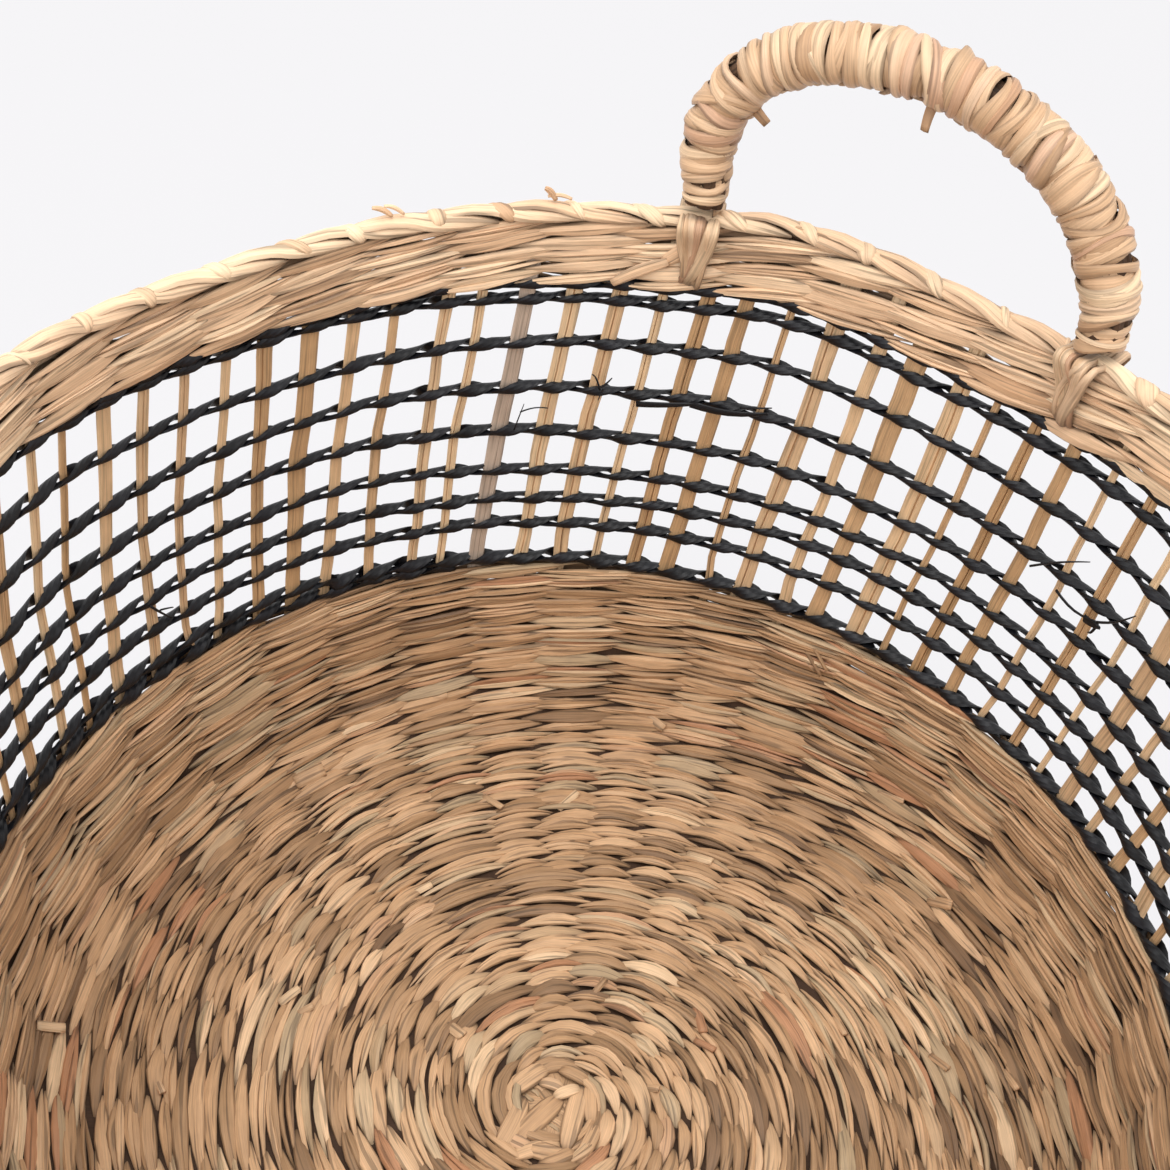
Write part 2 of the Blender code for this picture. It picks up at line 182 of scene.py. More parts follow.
# %% Rim wave
WAVE = np.array(
    [
        (-90, 0.0),
        (-60, -1.5),
        (-20, 1.0),
        (20, 0.0),
        (45, 2.0),
        (60, 2.8),
        (72, 0.3),
        (82, -0.3),
        (90, 2.0),
        (96, 3.6),
        (101, 4.6),
        (106, 4.0),
        (112, 1.2),
        (125, 0.6),
        (138, -1.2),
        (150, -3.2),
        (161, -4.0),
        (174, -1.5),
        (200, 1.2),
        (235, -1.0),
        (270, 0.0),
    ]
)
WAVE_FOOT = 90 * MM


def waved(azimuth, height):
    """A height near the rim, moved by the rim's wave."""
    turned = np.mod(azimuth + math.pi / 2, 2 * math.pi) - math.pi / 2
    spread = np.radians([-3, 0, 3])
    wave = sum(np.interp(turned + step, np.radians(WAVE[:, 0]), WAVE[:, 1]) for step in spread) / len(spread)
    return height + wave * MM * np.clip((height - WAVE_FOOT) / (BAND_BOTTOM - WAVE_FOOT), 0, 1)


def on_outline(outline, distance, azimuth, lift):
    """Points on a turned outline, with the directions up the outline and out of its inner face."""
    length, path, slope = outline
    radius = np.interp(distance, length, path[:, 0])
    height = waved(azimuth, np.interp(distance, length, path[:, 1]))
    out = np.interp(distance, length, slope[:, 0])
    rise = np.interp(distance, length, slope[:, 1])
    cosine, sine = np.cos(azimuth), np.sin(azimuth)
    upward = np.stack([cosine * out, sine * out, rise], axis=-1)
    inward = np.stack([-cosine * rise, -sine * rise, out], axis=-1)
    point = np.stack([cosine * radius, sine * radius, height], axis=-1)
    return point + inward * lift[..., None], upward, inward


def seen_on_bowl(x, y):
    """Distance and azimuth on the outline where a point of the photograph lies on the weave."""
    reach = np.linspace(0.3, 0.9, 3000)[:, None]
    points = np.array(eye) + np.array(sight(x, y)) * reach
    radius = np.hypot(points[:, 0], points[:, 1])
    inside = points[:, 2] > np.interp(radius, BOWL[1][:, 0], BOWL[1][:, 1]) + 2.5 * MM
    hit = points[int(np.argmin(inside))]
    gap = np.hypot(BOWL[1][:, 0] - np.hypot(hit[0], hit[1]), BOWL[1][:, 1] - hit[2])
    return BOWL[0][int(np.argmin(gap))], math.atan2(hit[1], hit[0])


def seen_on_wall(x, y, radius):
    """The point of the far wall, on an upright cylinder, that lies behind a photograph's point."""
    ray = sight(x, y)
    a = ray.x**2 + ray.y**2
    b = eye.x * ray.x + eye.y * ray.y
    reach = (math.sqrt(b * b - a * (eye.x**2 + eye.y**2 - radius**2)) - b) / a
    return eye + ray * reach


# %% [markdown]
# Everything on this basket is a strip: a leaf folded over, a split stem or a dyed blade. One
# function lays any number of strips at once. Each strip has a centre line, a direction across
# it, a direction that it faces, and a cross-section, and becomes one closed body. Doing this
# with arrays keeps thousands of strips quick, where a modifier stack for each would crawl.
# Two values ride on the points for the materials: a tint for each strip, and a painted shade that darkens the ends
# that tuck under their neighbours and, where asked, the edges of the strips.

# %% Strips
LEAF_SECTION = np.array([(1, 0), (0.8, 0.72), (0.05, 0.98), (-0.8, 0.72), (-1, 0), (0, -0.5)])
FLAT_SECTION = np.array([(1, 0), (0.7, 0.7), (0.1, 1), (-0.6, 0.8), (-1, 0), (0, -0.75)])
FOLDS = (0, 1, 2, 3, 4)
# Painted shade along a strip's two side edges and its underside, where it meets the strips beside it.
EDGE_SHADE = np.array([0.75, 0, 0, 0, 0.75, 1])


def unit(vectors):
    return vectors / np.linalg.norm(vectors, axis=-1, keepdims=True)


def strip_faces(count, stations, corners, mirrored):
    ids = np.arange(count * stations * corners).reshape(count, stations, corners)
    around = np.roll(ids, -1, axis=2)
    sides = np.stack([ids[:, :-1], around[:, :-1], around[:, 1:], ids[:, 1:]], axis=-1)
    ends = np.stack([ids[:, 0, ::-1], ids[:, -1]], axis=1)
    sides[mirrored] = sides[mirrored][..., ::-1]
    ends[mirrored] = ends[mirrored][..., ::-1]
    return sides.reshape(-1, 4), ends.reshape(-1, corners)


def lay_strips(name, centre, across, facing, half_width, half_depth, section, tint, shade, material, edge=0.0):
    """Makes closed strips from arrays shaped (strips, stations, ...) and returns their object."""
    count, stations = centre.shape[:2]
    across = np.broadcast_to(across, centre.shape)
    facing = np.broadcast_to(facing, centre.shape)
    half_width = np.broadcast_to(half_width, (count, stations))
    half_depth = np.broadcast_to(half_depth, (count, stations))
    section = np.broadcast_to(section, (count, *section.shape[-2:]))
    corners = section.shape[1]
    wide = half_width[:, :, None] * section[:, None, :, 0]
    deep = half_depth[:, :, None] * section[:, None, :, 1]
    points = centre[:, :, None] + across[:, :, None] * wide[..., None] + facing[:, :, None] * deep[..., None]
    tangent = np.gradient(centre, axis=1)
    mirrored = (np.cross(across, facing) * tangent).sum(-1).mean(1) < 0
    sides, ends = strip_faces(count, stations, corners, mirrored)

    mesh = bpy.data.meshes.new(name)
    mesh.vertices.add(count * stations * corners)
    mesh.vertices.foreach_set("co", points.astype(np.float32).ravel())
    loops = np.concatenate([sides.ravel(), ends.ravel()]).astype(np.int32)
    totals = np.concatenate([np.full(len(sides), 4), np.full(len(ends), corners)])
    mesh.loops.add(len(loops))
    mesh.loops.foreach_set("vertex_index", loops)
    mesh.polygons.add(len(totals))
    mesh.polygons.foreach_set("loop_start", (np.cumsum(totals) - totals).astype(np.int32))
    mesh.polygons.foreach_set("use_smooth", np.ones(len(totals), bool))

    step = np.linalg.norm(np.diff(centre, axis=1), axis=-1)
    along = np.concatenate([np.zeros((count, 1)), np.cumsum(step, axis=1)], axis=1)
    along = along + rng.uniform(0, 1, (count, 1))
    along = np.broadcast_to(along[:, :, None], wide.shape)
    layout = mesh.uv_layers.new(name="leaf")
    grid = np.stack([along, wide + rng.uniform(0, 1, (count, 1, 1))], axis=-1).reshape(-1, 2)
    layout.data.foreach_set("uv", grid[loops].astype(np.float32).ravel())
    tints = np.reshape(tint, (count, -1, 1))
    shades = np.broadcast_to(shade, (count, stations))[..., None]
    if edge:
        shades = np.clip(shades + edge * EDGE_SHADE, 0, 1)
    for label, values in (("tint", tints), ("shade", shades)):
        attribute = mesh.attributes.new(label, "FLOAT", "POINT")
        full = np.broadcast_to(values, wide.shape).astype(np.float32)
        attribute.data.foreach_set("value", full.ravel())
    mesh.update(calc_edges=True)
    mesh.validate()
    edges = np.zeros(2 * len(mesh.edges), np.int32)
    mesh.edges.foreach_get("vertices", edges)
    corner = edges.reshape(-1, 2) % corners
    crisp = (corner[:, 0] == corner[:, 1]) & (np.isin(corner[:, 0], FOLDS) | (corners > len(LEAF_SECTION)))
    mesh.attributes.new("sharp_edge", "BOOLEAN", "EDGE").data.foreach_set("value", crisp)
    mesh.materials.append(material)
    strip = bpy.data.objects.new(name, mesh)
    bpy.context.scene.collection.objects.link(strip)
    triangles = count * (2 * (stations - 1) * corners + 2 * (corners - 2))
    print(f"{name}: {count} strips, {triangles} triangles")
    return strip


rng = np.random.default_rng(12)


def slow_noise(count, every):
    """Smooth random values between -1 and 1 with a new value every so many points."""
    knots = rng.uniform(-1, 1, count // every + 4)
    return np.interp(np.arange(count) / every, np.arange(len(knots)), knots)


# %% [markdown]
# Materials. Colours are written as sRGB hex values, as a colour picker gives them, and one
# function turns them to the linear values that the shader wants.

# %% Colours and nodes


def linear(code):
    """An sRGB hex colour as the shader's linear red, green, blue and alpha."""
    values = [int(code[i : i + 2], 16) / 255 for i in (1, 3, 5)]
    return [v / 12.92 if v <= 0.04045 else ((v + 0.055) / 1.055) ** 2.4 for v in values] + [1]


def add_node(tree, kind, links=(), **settings):
    """Adds one node. Settings name its properties or, as in_N, its inputs; links fill inputs."""
    node = tree.nodes.new(kind)
    for key, value in settings.items():
        if key.startswith("in_"):
            name = key[3:]
            node.inputs[int(name) if name.isdigit() else name.replace("_", " ")].default_value = value
        else:
            setattr(node, key, value)
    for target, source in links:
        tree.links.new(source, node.inputs[target])
    return node


def ramp_of(tree, factor, stops):
    """A colour ramp from (position, hex) stops."""
    ramp = add_node(tree, "ShaderNodeValToRGB", [(0, factor)])
    while len(ramp.color_ramp.elements) < len(stops):
        ramp.color_ramp.elements.new(0.5)
    for element, (position, code) in zip(ramp.color_ramp.elements, stops):
        element.position = position
        element.color = linear(code)
    return ramp


def streaks(tree, layout, along_mm, across_mm, detail, low, high, darkest, lightest):
    """Noise stretched along the leaf, mapped from a span of its values to a span of brightness."""
    scale = (1 / (along_mm * MM), 1 / (across_mm * MM), 1)
    space = add_node(tree, "ShaderNodeMapping", [("Vector", layout.outputs[0])], in_Scale=scale)
    noise = add_node(tree, "ShaderNodeTexNoise", [("Vector", space.outputs[0])], in_Scale=1.0, in_Detail=detail)
    mapped = add_node(
        tree,
        "ShaderNodeMapRange",
        [("Value", noise.outputs["Fac"])],
        in_From_Min=low,
        in_From_Max=high,
        in_To_Min=darkest,
        in_To_Max=lightest,
    )
    return noise, mapped


def leaf_material(name, tints, fibre_mm, grain_mm, depth_mm, roughness, dark, sheen=0.0, specular=0.4, veins=0.55):
    """A dried strip: a tint for each strip, fibres, thin dark splits, and painted shade on tucked ends and edges."""
    material = bpy.data.materials.new(name)
    material.use_nodes = True
    tree = material.node_tree
    shader = tree.nodes["Principled BSDF"]
    shader.inputs["Roughness"].default_value = roughness
    shader.inputs["IOR"].default_value = 1.5
    shader.inputs["Specular IOR Level"].default_value = specular
    shader.inputs["Sheen Weight"].default_value = sheen
    layout = add_node(tree, "ShaderNodeUVMap", uv_map="leaf")
    tint = add_node(tree, "ShaderNodeAttribute", attribute_name="tint")
    shade = add_node(tree, "ShaderNodeAttribute", attribute_name="shade")
    colour = ramp_of(tree, tint.outputs["Fac"], tints).outputs[0]
    fibres, fine = streaks(tree, layout, grain_mm, fibre_mm, 3.0, 0.3, 0.7, 0.8, 1.12)
    _, patches = streaks(tree, layout, 9, 3.5, 2.0, 0.3, 0.75, 1.07, 0.86)
    _, split = streaks(tree, layout, 1.6 * grain_mm, 3 * fibre_mm, 1.0, 0.36, 0.43, veins, 1.0)
    for factor in (fine, patches, split):
        colour = add_node(
            tree,
            "ShaderNodeMix",
            [(6, colour), (7, factor.outputs[0])],
            data_type="RGBA",
            blend_type="MULTIPLY",
            in_0=1.0,
        ).outputs[2]
    # The shade value mixes in the dark colour: painted shade on tucked ends and along the strips' edges.
    darkened = add_node(
        tree,
        "ShaderNodeMix",
        [(0, shade.outputs["Fac"]), (6, colour)],
        data_type="RGBA",
        in_7=linear(dark),
    )
    tree.links.new(darkened.outputs[2], shader.inputs["Base Color"])
    bump = add_node(
        tree,
        "ShaderNodeBump",
        [("Height", fibres.outputs["Fac"])],
        in_Strength=0.9,
        in_Distance=depth_mm * MM,
    )
    tree.links.new(bump.outputs[0], shader.inputs["Normal"])
    return material


# %% [markdown]
# Dried seagrass is a matte leaf that keeps traces of green and dries to tan, with a few reddish
# and grey strips. The colour differs from leaf to leaf far more than along one leaf, which is
# why the tint is a value for each strip. The reed of the stakes is smoother and more golden.

# %% Seagrass, reed and dyed leaf
SEAGRASS = [
    (0.0, "#83654a"),
    (0.2, "#a7835f"),
    (0.45, "#c69d75"),
    (0.68, "#dab188"),
    (0.8, "#b39a79"),
    (0.92, "#ecc89f"),
    (1.0, "#b98661"),
]
seagrass = leaf_material("dried_seagrass", SEAGRASS, 0.42, 16, 0.16, 0.6, "#3c2819", 0.05)
RIM_GRASS = [
    (0.0, "#b99676"),
    (0.25, "#e0b790"),
    (0.55, "#eec9a4"),
    (0.8, "#f5d6b1"),
    (1.0, "#d0a680"),
]
rim_grass = leaf_material("sunned_seagrass", RIM_GRASS, 0.45, 20, 0.16, 0.58, "#4f3724", 0.05)
HANDLE_GRASS = [
    (0.0, "#a17b59"),
    (0.25, "#cca681"),
    (0.5, "#d6b28e"),
    (0.75, "#e1c29e"),
    (0.9, "#cfa688"),
    (1.0, "#b98f6d"),
]
handle_grass = leaf_material("handle_leaf", HANDLE_GRASS, 0.5, 22, 0.14, 0.5, "#4f3623", 0.05, 0.4, 0.7)
REED = [
    (0.0, "#c2ad9b"),
    (0.12, "#bf976c"),
    (0.45, "#dcb68c"),
    (0.7, "#ebcaa1"),
    (1.0, "#d4af88"),
]
split_reed = leaf_material("split_reed", REED, 0.3, 30, 0.1, 0.45, "#6e4d2e", 0.0, 0.5, 0.7)
DYED = [(0.0, "#0b0b0f"), (0.6, "#121217"), (1.0, "#1a1a21")]
dyed_grass = leaf_material("dyed_grass", DYED, 0.4, 18, 0.12, 0.45, "#050507", 0.0, 0.35)
# The stems inside the weave and the handles: dark brown, partly their own colour and partly painted shade for the gaps
# where they show.
SHADED_STEM = [(0.0, "#452f1f"), (1.0, "#5e432c")]
shaded_stem = leaf_material("shaded_stem", SHADED_STEM, 0.5, 20, 0.1, 0.8, "#38261a")

# %% [markdown]
# Twining uses two leaves at once. At each warp one leaf passes in front and the other behind,
# and between the warps they swap. So each face shows one slanting stitch for each warp, full
# and wide over the warp and pointed where it dives under the stitches beside it. The slant is a
# quarter of a row to each side, which locks neighbouring columns together like a zip.
#
# The floor starts with few columns. As it grows, the weaver lays in new warps one at a time, so
# each column splits in two at a radius of its own. From the corner up there are forty, one for
# each pair of stakes.

# %% Columns of stitches
FIRST_COLUMNS = 5
SPLIT_RADII_MM = ((13, 24), (26, 48), (65, 115))
COLUMN_START = math.radians(95.5)
split_at = [
    rng.uniform(low, high, FIRST_COLUMNS * 2**level) * MM for level, (low, high) in enumerate(SPLIT_RADII_MM)
]


def columns_at(radius):
    """(middle, width) of each column of stitches where the weave has this radius."""
    found = []

    def divide(level, number, start, width):
        if level < len(split_at) and radius > split_at[level][number]:
            divide(level + 1, 2 * number, start, width / 2)
            divide(level + 1, 2 * number + 1, start + width / 2, width / 2)
        else:
            found.append((start + width / 2, width))

    whole = 2 * math.pi / FIRST_COLUMNS
    for number in range(FIRST_COLUMNS):
        divide(0, number, COLUMN_START + number * whole, whole)
    return found


# %% [markdown]
# A stitch is a bundle of one to three leaf blades. Each blade gets its own width, tone and small
# skew, because a weaver feeds in whatever comes next from the heap. Near the top of the wall the
# blades are thin and long, and higher tones gather in soft patches.

# %% Twined stitches
ROW_PITCH = 4.45 * MM


def tone_patch(distance, azimuth):
    """Slow change of tone over the weave, from one batch of leaves to the next, with a painted shadow high on the wall
    at one side.
    """
    patch = 0.06 * math.sin(3 * azimuth + distance / (19 * MM))
    patch += 0.04 * math.sin(7 * azimuth - distance / (8 * MM))
    # Painted shadow: lower tones near the top of the wall round one azimuth.
    painted_shadow = math.exp(-(((azimuth - math.radians(77)) / 0.16) ** 2) - ((distance - BOWL[0][-1] + 24 * MM) / (17 * MM)) ** 2)
    return patch - 0.42 * painted_shadow


def stitches(rows, side):
    """A table of blades: distance, azimuth, reach, tilt, offset, half width, tone and lift."""
    blades = []
    for distance, columns, counts, reach_share, tilt_share in rows:
        for middle, width in columns:
            count = rng.choice(counts)
            base = distance + rng.normal(0, 0.22 * MM)
            turned = middle + rng.normal(0, 0.075) * width
            tone = rng.uniform(0.17, 0.8) + tone_patch(distance, middle)
            if rng.uniform() < 0.07:
                tone = rng.uniform(0.88, 1)
            tilt = -side * tilt_share * ROW_PITCH * rng.normal(1, 0.16)
            share = ROW_PITCH / count
            for blade in range(count):
                blades.append(
                    (
                        base,
                        turned + rng.normal(0, 0.035) * width,
                        reach_share * width * rng.normal(1, 0.1),
                        tilt + rng.normal(0, 0.3 * MM) * (count > 1),
                        (blade - (count - 1) / 2) * share * rng.normal(0.95, 0.1),
                        share * rng.normal(0.63, 0.06),
                        tone + rng.normal(0, 0.14),
                        rng.normal(0, 0.24 * MM),
                    )
                )
    return np.array(blades).T


def twine(name, outline, side, rows, stations, low, high, depth, material):
    """Lays rows of stitches on one face of an outline. Side is 1 for the inner face."""
    base, azimuth, reach, tilt, offset, width, tone, lift = stitches(rows, side)
    u = np.linspace(-1, 1, stations)[None, :]
    full = 1 - np.abs(u) ** 1.45
    azimuths = azimuth[:, None] + u * reach[:, None]
    peak = rng.uniform(-0.35, 0.35, (len(base), 1))
    knee = rng.normal(0.1 * MM, 0.4 * MM, (len(base), 1)) * (1 - np.abs(u - peak) / (1 + np.abs(peak)))
    distances = base[:, None] + tilt[:, None] * u + offset[:, None] * (0.2 + 0.8 * full)
    lifts = low + (high - low + lift[:, None]) * (1 - np.abs(u) ** 2)
    centre, upward, inward = on_outline(outline, distances + knee, azimuths, side * lifts)
    roll = rng.normal(0, 0.2, (len(base), 1, 1)) + 0.25 * u[..., None] * rng.normal(0, 1, (len(base), 1, 1))
    facing = inward * side * np.cos(roll) + upward * np.sin(roll)
    across = upward * np.cos(roll) - inward * side * np.sin(roll)
    half_width = width[:, None] * (0.03 + 0.97 * full)
    half_depth = depth * (0.35 + 0.65 * full)
    section = np.repeat(LEAF_SECTION[None], len(base), axis=0)
    section[:, 2, 0] += rng.uniform(-0.5, 0.5, len(base))
    section[:, 2, 1] += rng.uniform(-0.2, 0.35, len(base))
    # Painted shade on the tips that dive under the stitches beside them.
    shade = 0.6 * np.abs(u) ** 4
    tone = np.clip(tone, 0, 1)
    return lay_strips(name, centre, across, facing, half_width, half_depth, section, tone, shade, material, 0.75)


# %% Floor and lower wall
FIRST_ROW = 13 * MM
WISPY_ROWS = 22 * MM
WEAVE_LOW = -0.7 * MM
WEAVE_HIGH = {"inner": 2.2 * MM, "outer": 1.85 * MM}
LEAF_DEPTH = 1.1 * MM
CORNER_START = FLOOR_RADIUS - 4 * MM


def bowl_rows(first, last, plain):
    """(distance, columns, blade counts, reach, tilt) for the rows between two distances."""
    top = BOWL[0][-1]
    rows = []
    for distance in np.arange(FIRST_ROW, top - ROW_PITCH / 3, ROW_PITCH):
        if not first <= distance < last:
            continue
        radius = float(np.interp(distance, BOWL[0], BOWL[1][:, 0]))
        wispy = distance > top - WISPY_ROWS
        counts = (1, 1, 2) if radius < 60 * MM else (1, 1, 2, 2, 2, 3)
        if wispy:
            counts = (2, 3, 3, 4, 4)
        if plain:
            counts = (1, 1, 2)
        rows.append((distance, columns_at(radius), counts, 0.92 if wispy else 0.82, 0.46))
    return rows


for face, side, floor_stations, wall_stations in (("inner", 1, 9, 7), ("outer", -1, 6, 6)):
    for part, first, last, stations in (
        ("floor", 0, CORNER_START, floor_stations),
        ("wall", CORNER_START, 1, wall_stations),
    ):
        rows = bowl_rows(first, last, side < 0)
        twine(f"{part}_weave_{face}", BOWL, side, rows, stations, WEAVE_LOW, WEAVE_HIGH[face], LEAF_DEPTH, seagrass)

# %% [markdown]
# Between the two faces run the warps, which show only as dark ribs in the gaps. A thin turned sheet stands for them in
# the floor and most of the wall, so that no light comes through where stitches part. Its dark brown is partly the
# warps' own colour and partly painted shade for those gaps. It stops below the last rows, where the photograph shows a
# few bright gaps.

# %% Warps inside the weave
SHEET_END = 12 * MM


def turned_sheet(name, outline, until, half_depth, material, steps=160):
    """A closed turned sheet of even thickness along an outline, from its start to a distance."""
    length, path, slope = (part[outline[0] < until] for part in outline)
    normal = np.stack([-slope[:, 1], slope[:, 0]], axis=-1)
    profile = np.concatenate([path + normal * half_depth, (path - normal * half_depth)[::-1]])
    profile[:, 0] = np.maximum(profile[:, 0], 0.2 * MM)
    angles = 2 * math.pi * np.arange(steps) / steps
    points = np.stack(
        [
            np.cos(angles)[:, None] * profile[:, 0],
            np.sin(angles)[:, None] * profile[:, 0],
            np.broadcast_to(profile[:, 1], (steps, len(profile))),
        ],
        axis=-1,
    )
    ids = np.arange(steps * len(profile)).reshape(steps, len(profile))
    after = np.roll(ids, -1, axis=0)
    quads = np.stack([ids, np.roll(ids, -1, axis=1), np.roll(after, -1, axis=1), after], axis=-1)
    mesh = bpy.data.meshes.new(name)
    mesh.from_pydata(points.reshape(-1, 3).tolist(), [], quads.reshape(-1, 4).tolist())
    layout = mesh.uv_layers.new(name="leaf")
    spread = np.broadcast_to(angles[:, None], ids.shape)
    grid = np.stack([np.broadcast_to(profile[:, 0], ids.shape), spread], -1)
    order = np.zeros(len(mesh.loops), np.int32)
    mesh.loops.foreach_get("vertex_index", order)
    layout.data.foreach_set("uv", grid.reshape(-1, 2)[order].astype(np.float32).ravel())
    mesh.shade_smooth()
    mesh.materials.append(material)
    sheet = bpy.data.objects.new(name, mesh)
    bpy.context.scene.collection.objects.link(sheet)
    print(f"{name}: {2 * steps * len(profile)} triangles")
    return sheet


bowl_warps = turned_sheet("bowl_warps", BOWL, BOWL[0][-1] - SHEET_END, 0.5 * MM, shaded_stem)

# %% [markdown]
# In the middle of the floor the first leaves cross. They are wider than any stitch and lie over
# each other in no strict order, with the fine ribs of the first warps between them. Each one is
# given by its two ends, in millimetres from the middle, and its width.

# %% Crossing in the middle
CROSS_LEAVES = (
    (-3.1, -22.4, 8.2, -9.5, 5.2, 0.62),
    (5.5, -19.7, 13.0, -9.6, 4.8, 0.35),
    (15.1, -13.5, 13.7, 3.0, 4.8, 0.5),
    (-6.9, -22.0, -9.2, -2.6, 6.4, 0.55),
    (-13.4, -4.0, -8.0, 10.0, 6.6, 0.6),
    (-4.4, -17.6, 0.8, 3.6, 7.0, 0.45),
    (13.0, -1.0, 5.5, 11.5, 4.6, 0.5),
    (6.5, 11.0, -5.0, 10.5, 4.6, 0.35),
    (10.4, -12.2, 4.0, 9.4, 6.4, 0.66),
    (-7.8, 3.2, 0.6, 5.0, 4.0, 0.95),
    (-1.6, 1.0, 4.4, 8.4, 4.2, 0.93),
)
BASE_LEAVES = 7
BASE_REACH = 15
RIB_GROUPS = (
    (0.2, -7.4, 6.6, -7.6, 0.0, 1.7, 6),
    (-1.6, -12.2, 1.6, -14.0, 0.3, 1.5, 5),
    (-9.8, -1.4, -5.2, -2.2, 0.5, 1.5, 4),
)


def crossing():
    listed = [(*leaf, 2.1 + 0.12 * number) for number, leaf in enumerate(CROSS_LEAVES)]
    for number in range(BASE_LEAVES):
        angle = math.pi * number / BASE_LEAVES
        x, y = BASE_REACH * math.cos(angle), BASE_REACH * math.sin(angle)
        listed.append((-x, -y, x, y, 6.5, rng.uniform(0.25, 0.6), 0.5 + 0.1 * number))
    for x0, y0, x1, y1, step_x, step_y, count in RIB_GROUPS:
        for number in range(count):
            shift_x, shift_y = step_x * number, step_y * number
            listed.append((x0 + shift_x, y0 + shift_y, x1 + shift_x, y1 + shift_y, 1.35, rng.uniform(0.4, 0.8), 1.2))
    x0, y0, x1, y1, width, tone, lift = np.array(listed).T
    start = np.stack([x0, y0, 0 * x0], axis=-1) * MM
    end = np.stack([x1, y1, 0 * x0], axis=-1) * MM
    u = np.linspace(-1, 1, 11)[None, :]
    forward = unit(end - start)
    across = np.stack([-forward[:, 1], forward[:, 0], 0 * x0], axis=-1)
    bow = rng.normal(0, 0.7 * MM, (len(listed), 1)) * (1 - u**2)
    centre = (start + end)[:, None] / 2 + (end - start)[:, None] / 2 * u[..., None] + across[:, None] * bow[..., None]
    bulge = (lift[:, None] - 2.0 * np.abs(u) ** 3.5) * MM
    centre = centre + np.array([0, 0, 1]) * (FLOOR_MIDDLE + bulge)[..., None]
    half_width = width[:, None] / 2 * MM * (0.3 + 0.7 * (1 - np.abs(u) ** 3.2))
    # Painted shade on the leaf ends, where they bend down under their neighbours.
    shade = 0.7 * np.abs(u) ** 6
    up = np.array([0.0, 0.0, 1.0])
    return lay_strips(
        "floor_crossing", centre, across[:, None], up, half_width, 0.9 * MM, LEAF_SECTION, tone, shade, seagrass, 0.8
    )


floor_crossing = crossing()

# %% [markdown]
# Where a leaf runs out, its cut end sticks out of the weave. The ends are placed by their spot
# in the photograph: the line of sight through that spot meets the weave in one point.

# %% Cut ends
CUT_ENDS = (
    (276, 1002, 304, 992, 3.0, 0.9),
    (296, 1013, 310, 1007, 2.6, 0.7),
    (296, 785, 324, 772, 5.2, 0.6),
    (412, 897, 430, 883, 2.8, 0.92),
    (36, 1026, 59, 1029, 3.0, 0.92),
    (446, 1022, 462, 1038, 3.8, 0.7),
    (692, 1010, 706, 1032, 3.0, 1.0),
    (694, 1040, 716, 1052, 2.6, 1.0),
    (648, 714, 664, 730, 3.4, 0.7),
    (686, 856, 710, 867, 3.4, 0.9),
    (930, 898, 956, 904, 3.6, 0.5),
    (836, 1016, 848, 1036, 2.4, 0.6),
    (935, 1054, 948, 1072, 2.6, 0.5),
    (1005, 1070, 1015, 1092, 2.6, 0.6),
    (484, 797, 502, 809, 2.6, 0.7),
    (558, 806, 577, 798, 3.0, 0.9),
    (806, 646, 826, 668, 1.4, 0.1),
    (813, 644, 832, 666, 1.2, 0.3),
    (800, 648, 818, 668, 1.2, 0.5),
    (590, 1000, 604, 984, 2.2, 0.4),
    (160, 1075, 168, 1095, 2.2, 0.95),
    (640, 1088, 658, 1092, 2.4, 0.6),
    (880, 790, 905, 803, 2.2, 0.95),
    (420, 700, 446, 694, 2.4, 0.95),
)


def cut_ends():
    ends = np.array([[seen_on_bowl(x0, y0), seen_on_bowl(x1, y1)] for x0, y0, x1, y1, _, _ in CUT_ENDS])
    u = np.linspace(0, 1, 6)[None, :]
    distance = ends[:, 0, 0, None] * (1 - u) + ends[:, 1, 0, None] * u
    azimuth = ends[:, 0, 1, None] * (1 - u) + ends[:, 1, 1, None] * u
    lift = (2.0 + rng.uniform(0.9, 2.2, (len(ends), 1)) * u) * MM
    centre, upward, inward = on_outline(BOWL, distance, azimuth, lift)
    direction = unit(np.gradient(centre, axis=1))
    across = unit(np.cross(inward, direction))
    facing = np.cross(direction, across)
    width = np.array([row[4] for row in CUT_ENDS])[:, None] / 2 * MM
    tone = np.array([row[5] for row in CUT_ENDS])
    # Painted shade, strongest where each end comes out of the weave.
    return lay_strips("cut_ends", centre, across, facing, width, 0.7 * MM, FLAT_SECTION, tone, 0.3 * (1 - u), seagrass)


cut_end_strips = cut_ends()

# %% [markdown]
# The stakes are split reed: flat, stiff and each of its own width. They lean a little, as the
# weaver pulls the rows round. Some are two thin stems side by side, with a dark line where they
# meet, and some bend sharply just above the dense wall.

# %% Stakes
STAKES = 80
STAKE_STEP = 2 * math.pi / STAKES
STAKE_FIRST = math.radians(90)
STAKE_LEAN = math.radians(5.5)
STAKE_BOTTOM = 58 * MM
STAKE_LEVELS = 18
REED_HALF_DEPTH = 0.62 * MM
REED_HALF_WIDTHS_MM = [1.25, 1.6, 2.0, 2.45, 3.0]
REED_SHARES = [0.15, 0.25, 0.3, 0.2, 0.1]
GREY_STAKE = (490, 430)


def lean_at(height):
    return STAKE_LEAN * (STAKE_TOP - height) / (STAKE_TOP - CORNER_TOP)


